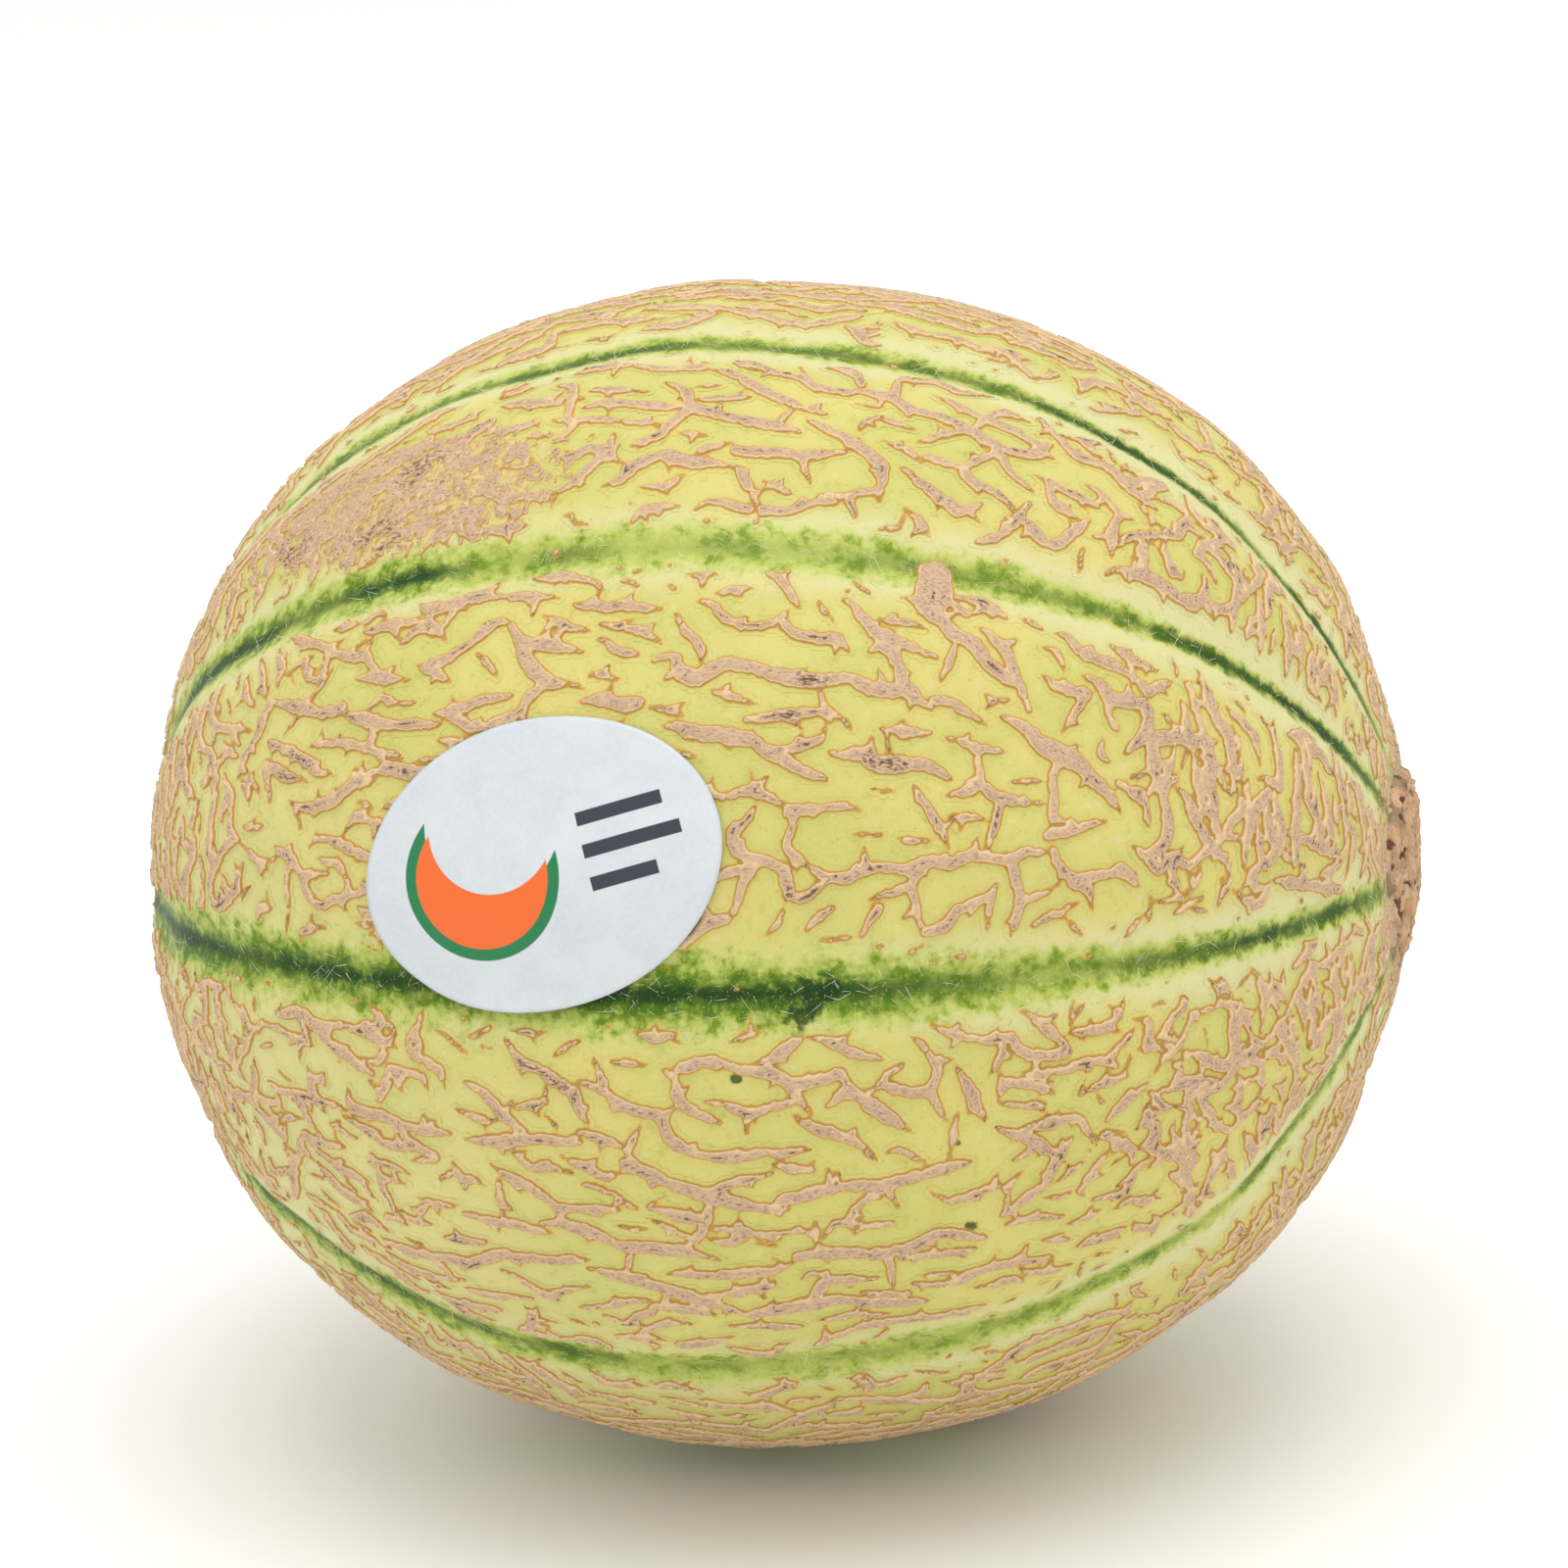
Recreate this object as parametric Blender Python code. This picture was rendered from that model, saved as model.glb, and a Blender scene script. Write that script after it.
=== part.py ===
"""A netted cantaloupe melon lying on its side, with an oval paper label on its flank.

The fruit's axis runs along X, with the stem scar at +X and the blossom scar at -X. It rests at Z = 0 on the
small flat spot under its middle, and the label faces -Y. Lengths are in metres and angles in degrees.

A place on the rind is given by two angles. The latitude runs along the fruit, from -90 at the blossom end to
90 at the stem end. The turn goes round the axis: 0 faces -Y, 90 faces up and -90 faces down.
"""

import math
import random

import bmesh
import bpy
from mathutils import Vector

# Body: half its length without the scar, the radius of its widest section, and how blunt its ends are
HALF_LENGTH = 0.0688
RADIUS = 0.0640
BLUNTNESS = 0.877
FLAT_DEPTH = 0.0010

# Ribs: the turn of each furrow between them, and the shape of a furrow
FURROW_TURNS = (76.5, 47.5, 5.0, -39.5, -73.0, -107.0, -142.0, -178.0, 146.0, 111.0)
VALLEY_DEPTH = 0.0009
VALLEY_HALF_WIDTH = 0.0070
GROOVE_DEPTH = 0.0007
GROOVE_HALF_WIDTH = 0.0016
FURROW_FADE_RADIUS = 0.0110

# Net: its ridges' height and width, and the size of the meshes between them
NET_HEIGHT = 0.00075
NET_WIDTH = 0.0017
NET_HEIGHT_CHANGE = 0.15
BARE_HALF_WIDTH = 0.0022
NET_STARTS = 0.0042
MESH_SIZE = 0.0090
END_MESH_SHARE = 0.62
MIDDLE_STRETCH = 0.25
FURROW_SNAP = 0.0017
FURROW_END = 64.0
SHORTEST_RIDGE = 0.0015
NET_SEED = 11
DRAWS = 30000

# The rind round the flat spot, where the net is worn down
WORN_RADIUS = 0.0150
WORN_FADE = 0.0080

# Stem scar: a low corky disc with a dished face. Blossom scar: a small flat button
SCAR_RADIUS = 0.0098
SCAR_HEIGHT = 0.0016
SCAR_DISH = 0.0007
SCAR_SIDES = 22
BUTTON_RADIUS = 0.0048
BUTTON_HEIGHT = 0.0004
BUTTON_SIDES = 14
SCAR_EDGE_SHARE = 0.16

# Label: an oval of paper that follows the rind over the ridges
LABEL_LENGTH = 0.0385
LABEL_HEIGHT = 0.0292
LABEL_ALONG = -0.0119
LABEL_TURN = 16.8
LABEL_TILT = 15.4
LABEL_THICKNESS = 0.0004
LABEL_GAP = 0.0003
LABEL_SIDES = 48
LABEL_RINGS = 4

# Finishes: colour, roughness
RIND_FINISH = ((0.52, 0.47, 0.20, 1.0), 0.50)
PAPER_FINISH = ((0.83, 0.85, 0.86, 1.0), 0.45)


def smooth(low, high, value):
    """0 below low, 1 above high, and a smooth step between."""
    share = min(max((value - low) / (high - low), 0.0), 1.0)
    return share * share * (3.0 - 2.0 * share)


def section_radius(latitude):
    """The smooth body's radius at a latitude in radians."""
    return RADIUS * max(math.cos(latitude), 0.0) ** BLUNTNESS


def furrow_distance(latitude, turn):
    """The distance over the rind from a place to the nearest furrow."""
    gaps = [abs((turn - math.radians(f) + math.pi) % (2.0 * math.pi) - math.pi) for f in FURROW_TURNS]
    return min(gaps) * section_radius(latitude)


def furrow_depth(latitude, turn):
    """How far the rind lies under the smooth body because of the furrows."""
    distance = furrow_distance(latitude, turn)
    valley = VALLEY_DEPTH * math.exp(-((distance / VALLEY_HALF_WIDTH) ** 2))
    groove = GROOVE_DEPTH * math.exp(-((distance / GROOVE_HALF_WIDTH) ** 2))
    fade = smooth(FURROW_FADE_RADIUS, 2.5 * FURROW_FADE_RADIUS, section_radius(latitude))
    return fade * (valley + groove)


def body_point(latitude, turn, height=0.0):
    """A point over the smooth body, at a height along its normal, with the fruit's axis through the origin."""
    radius = section_radius(latitude)
    along = HALF_LENGTH * math.sin(latitude)
    slope = BLUNTNESS * radius * math.tan(latitude) / (HALF_LENGTH * math.cos(latitude))
    length = math.hypot(slope, 1.0)
    reach = radius + height / length
    return Vector((
        along + height * slope / length,
        -reach * math.cos(turn),
        reach * math.sin(turn),
    ))


def floor_level():
    """How far the flat spot lies under the fruit's axis."""
    return RADIUS - FLAT_DEPTH


def body_angles(direction):
    """The latitude and turn on the fruit for a direction of the sphere that the net is laid out on.

    The sphere's middle is stretched along the fruit and its ends are pressed together, so that the meshes
    are long in the middle and broad near the ends."""
    level = math.asin(min(max(direction.x, -1.0), 1.0))
    latitude = level + MIDDLE_STRETCH * math.sin(2.0 * level)
    limit = 0.5 * math.pi - 1e-4
    return min(max(latitude, -limit), limit), math.atan2(direction.z, -direction.y)


def sphere_direction(level, turn):
    """The direction at a level and a turn, in radians, of the sphere that the net is laid out on."""
    return Vector((math.sin(level), -math.cos(level) * math.cos(turn), math.cos(level) * math.sin(turn)))


def sphere_level(section):
    """The sphere's level in radians whose circle becomes the fruit's section of this radius."""
    low, high = 0.0, 0.5 * math.pi
    for _ in range(40):
        middle = 0.5 * (low + high)
        if section_radius(middle + MIDDLE_STRETCH * math.sin(2.0 * middle)) > section:
            low = middle
        else:
            high = middle
    return low


def scar_seeds(section, sides, end):
    """Seeds in pairs on both sides of a circle, which makes the circle an edge of the net, and one on the end."""
    edge = sphere_level(section)
    inset = SCAR_EDGE_SHARE * (0.5 * math.pi - edge)
    seeds = [sphere_direction(end * 0.5 * math.pi, 0.0)]
    for side in range(sides):
        turn = 2.0 * math.pi * side / sides
        seeds.append(sphere_direction(end * (edge - inset), turn))
        seeds.append(sphere_direction(end * (edge + inset), turn))
    return seeds


def mesh_spacing(level):
    """The distance between the net's seeds on the sphere, which is less near the ends."""
    share = math.sin(level) ** 2
    return MESH_SIZE / RADIUS * (1.0 - share + share * END_MESH_SHARE)


def net_seeds():
    """The centres of all meshes of the net: laid out round the scars, and drawn at random elsewhere."""
    draw = random.Random(NET_SEED)
    seeds = scar_seeds(SCAR_RADIUS, SCAR_SIDES, 1.0) + scar_seeds(BUTTON_RADIUS, BUTTON_SIDES, -1.0)
    stem_edge = math.sin(sphere_level(SCAR_RADIUS * 1.25))
    button_edge = math.sin(sphere_level(BUTTON_RADIUS * 1.35))
    for _ in range(DRAWS):
        along = draw.uniform(-button_edge, stem_edge)
        candidate = sphere_direction(math.asin(along), draw.uniform(-math.pi, math.pi))
        least = mesh_spacing(math.asin(along)) ** 2
        if all((candidate - seed).length_squared > least for seed in seeds):
            seeds.append(candidate)
    return seeds


def net_cells(seeds):
    """The meshes of the net as a bmesh of cells on the unit sphere, one round each seed."""
    hull = bmesh.new()
    for seed in seeds:
        hull.verts.new(seed)
    bmesh.ops.convex_hull(hull, input=hull.verts)
    cells = bmesh.new()
    corners = {face: cells.verts.new(face.normal.normalized()) for face in hull.faces}
    for seed in hull.verts:
        first = seed.link_loops[0]
        ring, loop = [], first
        while not ring or loop != first:
            ring.append(corners[loop.face])
            loop = loop.link_loop_prev.link_loop_radial_next
        cells.faces.new(ring)
    hull.free()
    bmesh.ops.recalc_face_normals(cells, faces=cells.faces)
    bmesh.ops.remove_doubles(cells, verts=cells.verts, dist=SHORTEST_RIDGE / RADIUS)
    return cells


def cut_furrows(cells):
    """Cuts the cells along every furrow, after the corners close to one are moved onto it."""
    end = math.sin(math.radians(FURROW_END))
    for furrow in FURROW_TURNS:
        outward = sphere_direction(0.0, math.radians(furrow))
        across = outward.cross(Vector((1.0, 0.0, 0.0)))
        for vert in cells.verts:
            off = vert.co.dot(across)
            if abs(off) < FURROW_SNAP / RADIUS and vert.co.dot(outward) > 0.0 and abs(vert.co.x) < end:
                vert.co = (vert.co - off * across).normalized()
        near = [
            face for face in cells.faces
            if face.calc_center_median().dot(outward) > 0.0 and abs(face.calc_center_median().x) < end
        ]
        around = {edge for face in near for edge in face.edges} | {vert for face in near for vert in face.verts}
        bmesh.ops.bisect_plane(
            cells, geom=near + list(around), plane_co=(0.0, 0.0, 0.0), plane_no=across, dist=1e-5
        )


def inside_scar(face, section, end):
    """Whether a cell lies in the circle of this radius round an end of the fruit."""
    along = end * face.calc_center_median().normalized().x
    return along > math.sin(sphere_level(section))


def net_height(latitude, turn, draw):
    """The height of a ridge at a place: none in a furrow, on the flat spot or on the scars."""
    height = NET_HEIGHT * draw.uniform(1.0 - NET_HEIGHT_CHANGE, 1.0 + NET_HEIGHT_CHANGE)
    height *= smooth(BARE_HALF_WIDTH, NET_STARTS, furrow_distance(latitude, turn))
    from_spot = (body_point(latitude, turn) - body_point(0.0, math.radians(-90.0))).length
    return height * smooth(WORN_RADIUS, WORN_RADIUS + WORN_FADE, from_spot)


def raise_scar(cells, faces, height, dish):
    """Lifts the cells of a scar as one disc, with its middle dished."""
    lifted = bmesh.ops.extrude_face_region(cells, geom=faces)["geom"]
    bmesh.ops.delete(cells, geom=faces, context="FACES")
    top = [item for item in lifted if isinstance(item, bmesh.types.BMVert)]
    end = math.copysign(1.0, top[0].co.x)
    rim = max(math.hypot(vert.co.y, vert.co.z) for vert in top)
    for vert in top:
        share = math.hypot(vert.co.y, vert.co.z) / rim
        vert.co.x += end * (height - dish * (1.0 - share * share))


def build_melon():
    """The whole fruit: cells on a sphere, given ridges between them, brought to the fruit's form."""
    draw = random.Random(NET_SEED + 1)
    cells = net_cells(net_seeds())
    cut_furrows(cells)
    stem = [face for face in cells.faces if inside_scar(face, SCAR_RADIUS, 1.0)]
    button = [face for face in cells.faces if inside_scar(face, BUTTON_RADIUS, -1.0)]
    netted = [face for face in cells.faces if face not in stem and face not in button]
    ridge_points = set(cells.verts)
    scar_points = {vert for face in stem + button for vert in face.verts}
    bmesh.ops.inset_individual(cells, faces=netted, thickness=0.5 * NET_WIDTH / RADIUS, use_even_offset=True)
    bmesh.ops.poke(cells, faces=netted)
    for vert in cells.verts:
        latitude, turn = body_angles(vert.co.normalized())
        ridged = vert in ridge_points and vert not in scar_points
        height = net_height(latitude, turn, draw) if ridged else 0.0
        vert.co = body_point(latitude, turn, height - furrow_depth(latitude, turn))
    raise_scar(cells, stem, SCAR_HEIGHT, SCAR_DISH)
    raise_scar(cells, button, BUTTON_HEIGHT, 0.0)
    cut_flat_spot(cells)
    bmesh.ops.triangulate(cells, faces=cells.faces)
    bmesh.ops.recalc_face_normals(cells, faces=cells.faces)
    return finished_object("melon", cells, RIND_FINISH)


def cut_flat_spot(cells):
    """Cuts the underside off level, closes it, and stands the fruit on it."""
    level = -floor_level()
    bmesh.ops.bisect_plane(
        cells,
        geom=cells.verts[:] + cells.edges[:] + cells.faces[:],
        plane_co=(0.0, 0.0, level),
        plane_no=(0.0, 0.0, -1.0),
        clear_outer=True,
    )
    open_edges = [edge for edge in cells.edges if edge.is_boundary]
    bmesh.ops.edgeloop_fill(cells, edges=open_edges)
    bmesh.ops.translate(cells, verts=cells.verts, vec=(0.0, 0.0, -level))


def label_point(along, up, height):
    """A point over the rind at a place of the unrolled label, measured from its centre."""
    tilt = math.radians(LABEL_TILT)
    x = LABEL_ALONG + along * math.cos(tilt) - up * math.sin(tilt)
    arc = along * math.sin(tilt) + up * math.cos(tilt)
    latitude = math.asin(x / HALF_LENGTH)
    point = body_point(latitude, math.radians(LABEL_TURN) + arc / section_radius(latitude), height)
    return point + Vector((0.0, 0.0, floor_level()))


def build_label():
    """The label: rings of points from its centre out, on its inner and its outer face, joined round the edge."""
    label = bmesh.new()
    inner_height = NET_HEIGHT * (1.0 + NET_HEIGHT_CHANGE) + LABEL_GAP
    layers = []
    for height in (inner_height, inner_height + LABEL_THICKNESS):
        centre = label.verts.new(label_point(0.0, 0.0, height))
        rings = []
        for ring in range(1, LABEL_RINGS + 1):
            share = ring / LABEL_RINGS
            angles = [2.0 * math.pi * side / LABEL_SIDES for side in range(LABEL_SIDES)]
            rings.append([
                label.verts.new(label_point(
                    0.5 * LABEL_LENGTH * share * math.cos(angle),
                    0.5 * LABEL_HEIGHT * share * math.sin(angle),
                    height,
                ))
                for angle in angles
            ])
        layers.append((centre, rings))
    for side in range(LABEL_SIDES):
        after = (side + 1) % LABEL_SIDES
        for centre, rings in layers:
            label.faces.new((centre, rings[0][side], rings[0][after]))
            for near, far in zip(rings, rings[1:]):
                label.faces.new((near[side], far[side], far[after], near[after]))
        inner_edge, outer_edge = layers[0][1][-1], layers[1][1][-1]
        label.faces.new((inner_edge[side], outer_edge[side], outer_edge[after], inner_edge[after]))
    bmesh.ops.triangulate(label, faces=label.faces)
    bmesh.ops.recalc_face_normals(label, faces=label.faces)
    return finished_object("label", label, PAPER_FINISH)


def finished_object(name, shape, finish):
    """Makes a bmesh into a named object with its own material."""
    mesh = bpy.data.meshes.new(name)
    shape.to_mesh(mesh)
    shape.free()
    mesh.shade_smooth()
    mesh.set_sharp_from_angle(angle=math.radians(40.0))
    colour, roughness = finish
    material = bpy.data.materials.new(name)
    material.use_nodes = True
    surface = material.node_tree.nodes["Principled BSDF"]
    surface.inputs["Base Color"].default_value = colour
    surface.inputs["Roughness"].default_value = roughness
    surface.inputs["Metallic"].default_value = 0.0
    mesh.materials.append(material)
    thing = bpy.data.objects.new(name, mesh)
    bpy.context.scene.collection.objects.link(thing)
    return thing


def main():
    for old in list(bpy.data.objects):
        bpy.data.objects.remove(old)
    build_melon()
    build_label()


main()
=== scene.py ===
"""The looks of a netted cantaloupe melon: its ribbed rind, its raised corky net, the scars at both ends, the
hairs along its furrows and the oval paper label on its flank.

Lengths are in metres. A place on the rind is a latitude, which runs along the fruit from the blossom end
(-X) to the stem end (+X), and a turn round its axis, which is 0 towards -Y and a quarter turn at the top.
"""

import math
import random

import bmesh
import bpy
import numpy as np
from mathutils import Matrix, Vector, noise


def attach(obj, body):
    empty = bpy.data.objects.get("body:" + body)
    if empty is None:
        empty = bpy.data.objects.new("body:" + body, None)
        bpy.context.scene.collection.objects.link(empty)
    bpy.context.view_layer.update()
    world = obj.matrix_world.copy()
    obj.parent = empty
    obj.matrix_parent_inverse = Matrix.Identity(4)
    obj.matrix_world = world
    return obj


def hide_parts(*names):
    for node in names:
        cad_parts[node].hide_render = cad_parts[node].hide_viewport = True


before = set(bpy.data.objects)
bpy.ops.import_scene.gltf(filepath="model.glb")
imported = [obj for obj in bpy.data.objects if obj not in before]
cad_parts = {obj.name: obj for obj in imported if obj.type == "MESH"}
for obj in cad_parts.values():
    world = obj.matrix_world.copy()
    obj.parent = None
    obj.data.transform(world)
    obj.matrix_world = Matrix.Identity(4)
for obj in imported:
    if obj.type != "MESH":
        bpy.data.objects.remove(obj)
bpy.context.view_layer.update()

MM = 0.001

# Body: half its length, its widest radius, how blunt its ends are, and how deep its flat spot is cut
HALF_LENGTH = 68.8 * MM
RADIUS = 64.0 * MM
BLUNTNESS = 0.877
FLAT_DEPTH = 1.0 * MM
LIFT = RADIUS - FLAT_DEPTH
POLE = 0.5 * math.pi - 1e-4

# Furrows between the ribs: their turns in degrees, and the two widths and depths that make their form
FURROW_TURNS = (76.5, 47.5, 5.0, -39.5, -73.0, -107.0, -142.0, -178.0, 146.0, 111.0)
VALLEY_DEPTH = 0.9 * MM
VALLEY_HALF_WIDTH = 7.0 * MM
GROOVE_DEPTH = 0.4 * MM
GROOVE_HALF_WIDTH = 2.0 * MM
FURROW_FADE_RADIUS = 11.0 * MM

# Green of the furrows: how far the halo reaches from each furrow's line, in the order of FURROW_TURNS, and
# the stretches where the line is dark, each as its furrow's turn, its latitude and half its length in
# degrees, and how dark it is
HALO_WIDTHS = tuple(width * MM for width in (2.2, 3.3, 4.8, 3.6, 3.0, 4.0, 2.6, 3.6, 2.8, 3.4))
DARK_STRETCHES = (
    (76.5, 42.0, 34.0, 0.7), (76.5, -15.0, 22.0, 0.4),
    (47.5, -52.0, 16.0, 1.0), (47.5, -27.0, 5.0, 0.9), (47.5, 62.0, 24.0, 0.8),
    (5.0, -64.0, 20.0, 1.0), (5.0, -28.0, 16.0, 0.8), (5.0, 6.0, 19.0, 1.0), (5.0, 62.0, 26.0, 0.5),
    (-39.5, -56.0, 22.0, 1.0), (-39.5, -18.0, 12.0, 0.5), (-39.5, 62.0, 12.0, 0.4),
    (-73.0, -40.0, 30.0, 0.7),
    (-107.0, 40.0, 30.0, 0.7),
    (-142.0, -10.0, 30.0, 0.8), (-142.0, 62.0, 20.0, 0.8),
    (-178.0, 35.0, 30.0, 0.9), (-178.0, -50.0, 18.0, 0.7),
    (146.0, -35.0, 35.0, 0.8), (146.0, 60.0, 20.0, 0.9),
    (111.0, 20.0, 30.0, 0.6), (111.0, -55.0, 20.0, 0.9),
)

# Gentle unevenness of the ribs
SWELL_WAVES = 9
SWELL_HEIGHT = 0.09 * MM
SWELL_LENGTHS = (14 * MM, 42 * MM)

# Rind mesh: the mean width of its columns, which are narrower beside the furrows, and its number of rows
RIND_COLUMN = 1.1 * MM
RIND_CROWDING = 0.10
RIND_ROWS = 170

# Wear and cork: how far round the flat spot the net is worn off, and where it has grown together into a
# crust. That is a patch on the upper left, with its middle and its half lengths in degrees, its slant and how
# whole it is, and a ring at each end, with the radii where it begins and where it is whole
WORN_RADII = (13.0 * MM, 24.0 * MM)
CORKY_MIDDLE = (-29.0, 59.0)
CORKY_HALF_LENGTHS = (21.0, 9.0)
CORKY_SLANT = 0.12
CORKY_SHARE = 0.84
STEM_CORK_RADII = (17.5 * MM, 10.0 * MM)
BLOSSOM_CORK_RADII = (11.0 * MM, 4.0 * MM)

# Net: the spacing of points along a strand, how strands wander, the heading that they favour at mid-length,
# how near they come to others when they join them, keep clear of them or run beside them, how much stays bare
# on each side of a furrow and between which radii that narrows towards the ends, the latitude and turn in
# degrees of a spot where the meshes are wide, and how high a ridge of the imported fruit's net stands
STEP = 0.45 * MM
WANDER = 0.12
KINK_CHANCE = 0.06
KINK_TURN = 1.1
LIE_PULL = 0.05
MIDDLE_LIE = -0.15
TOUCH = 0.55 * MM
SHY_ROOM = 1.35 * MM
ELBOW_ROOM = 1.7 * MM
BARE_HALF_WIDTH = 2.8 * MM
BARE_RADII = (12.0 * MM, 38.0 * MM)
OPEN_SPOT = (10.0, 25.0)
CREST_HEIGHT = 0.35 * MM

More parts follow.
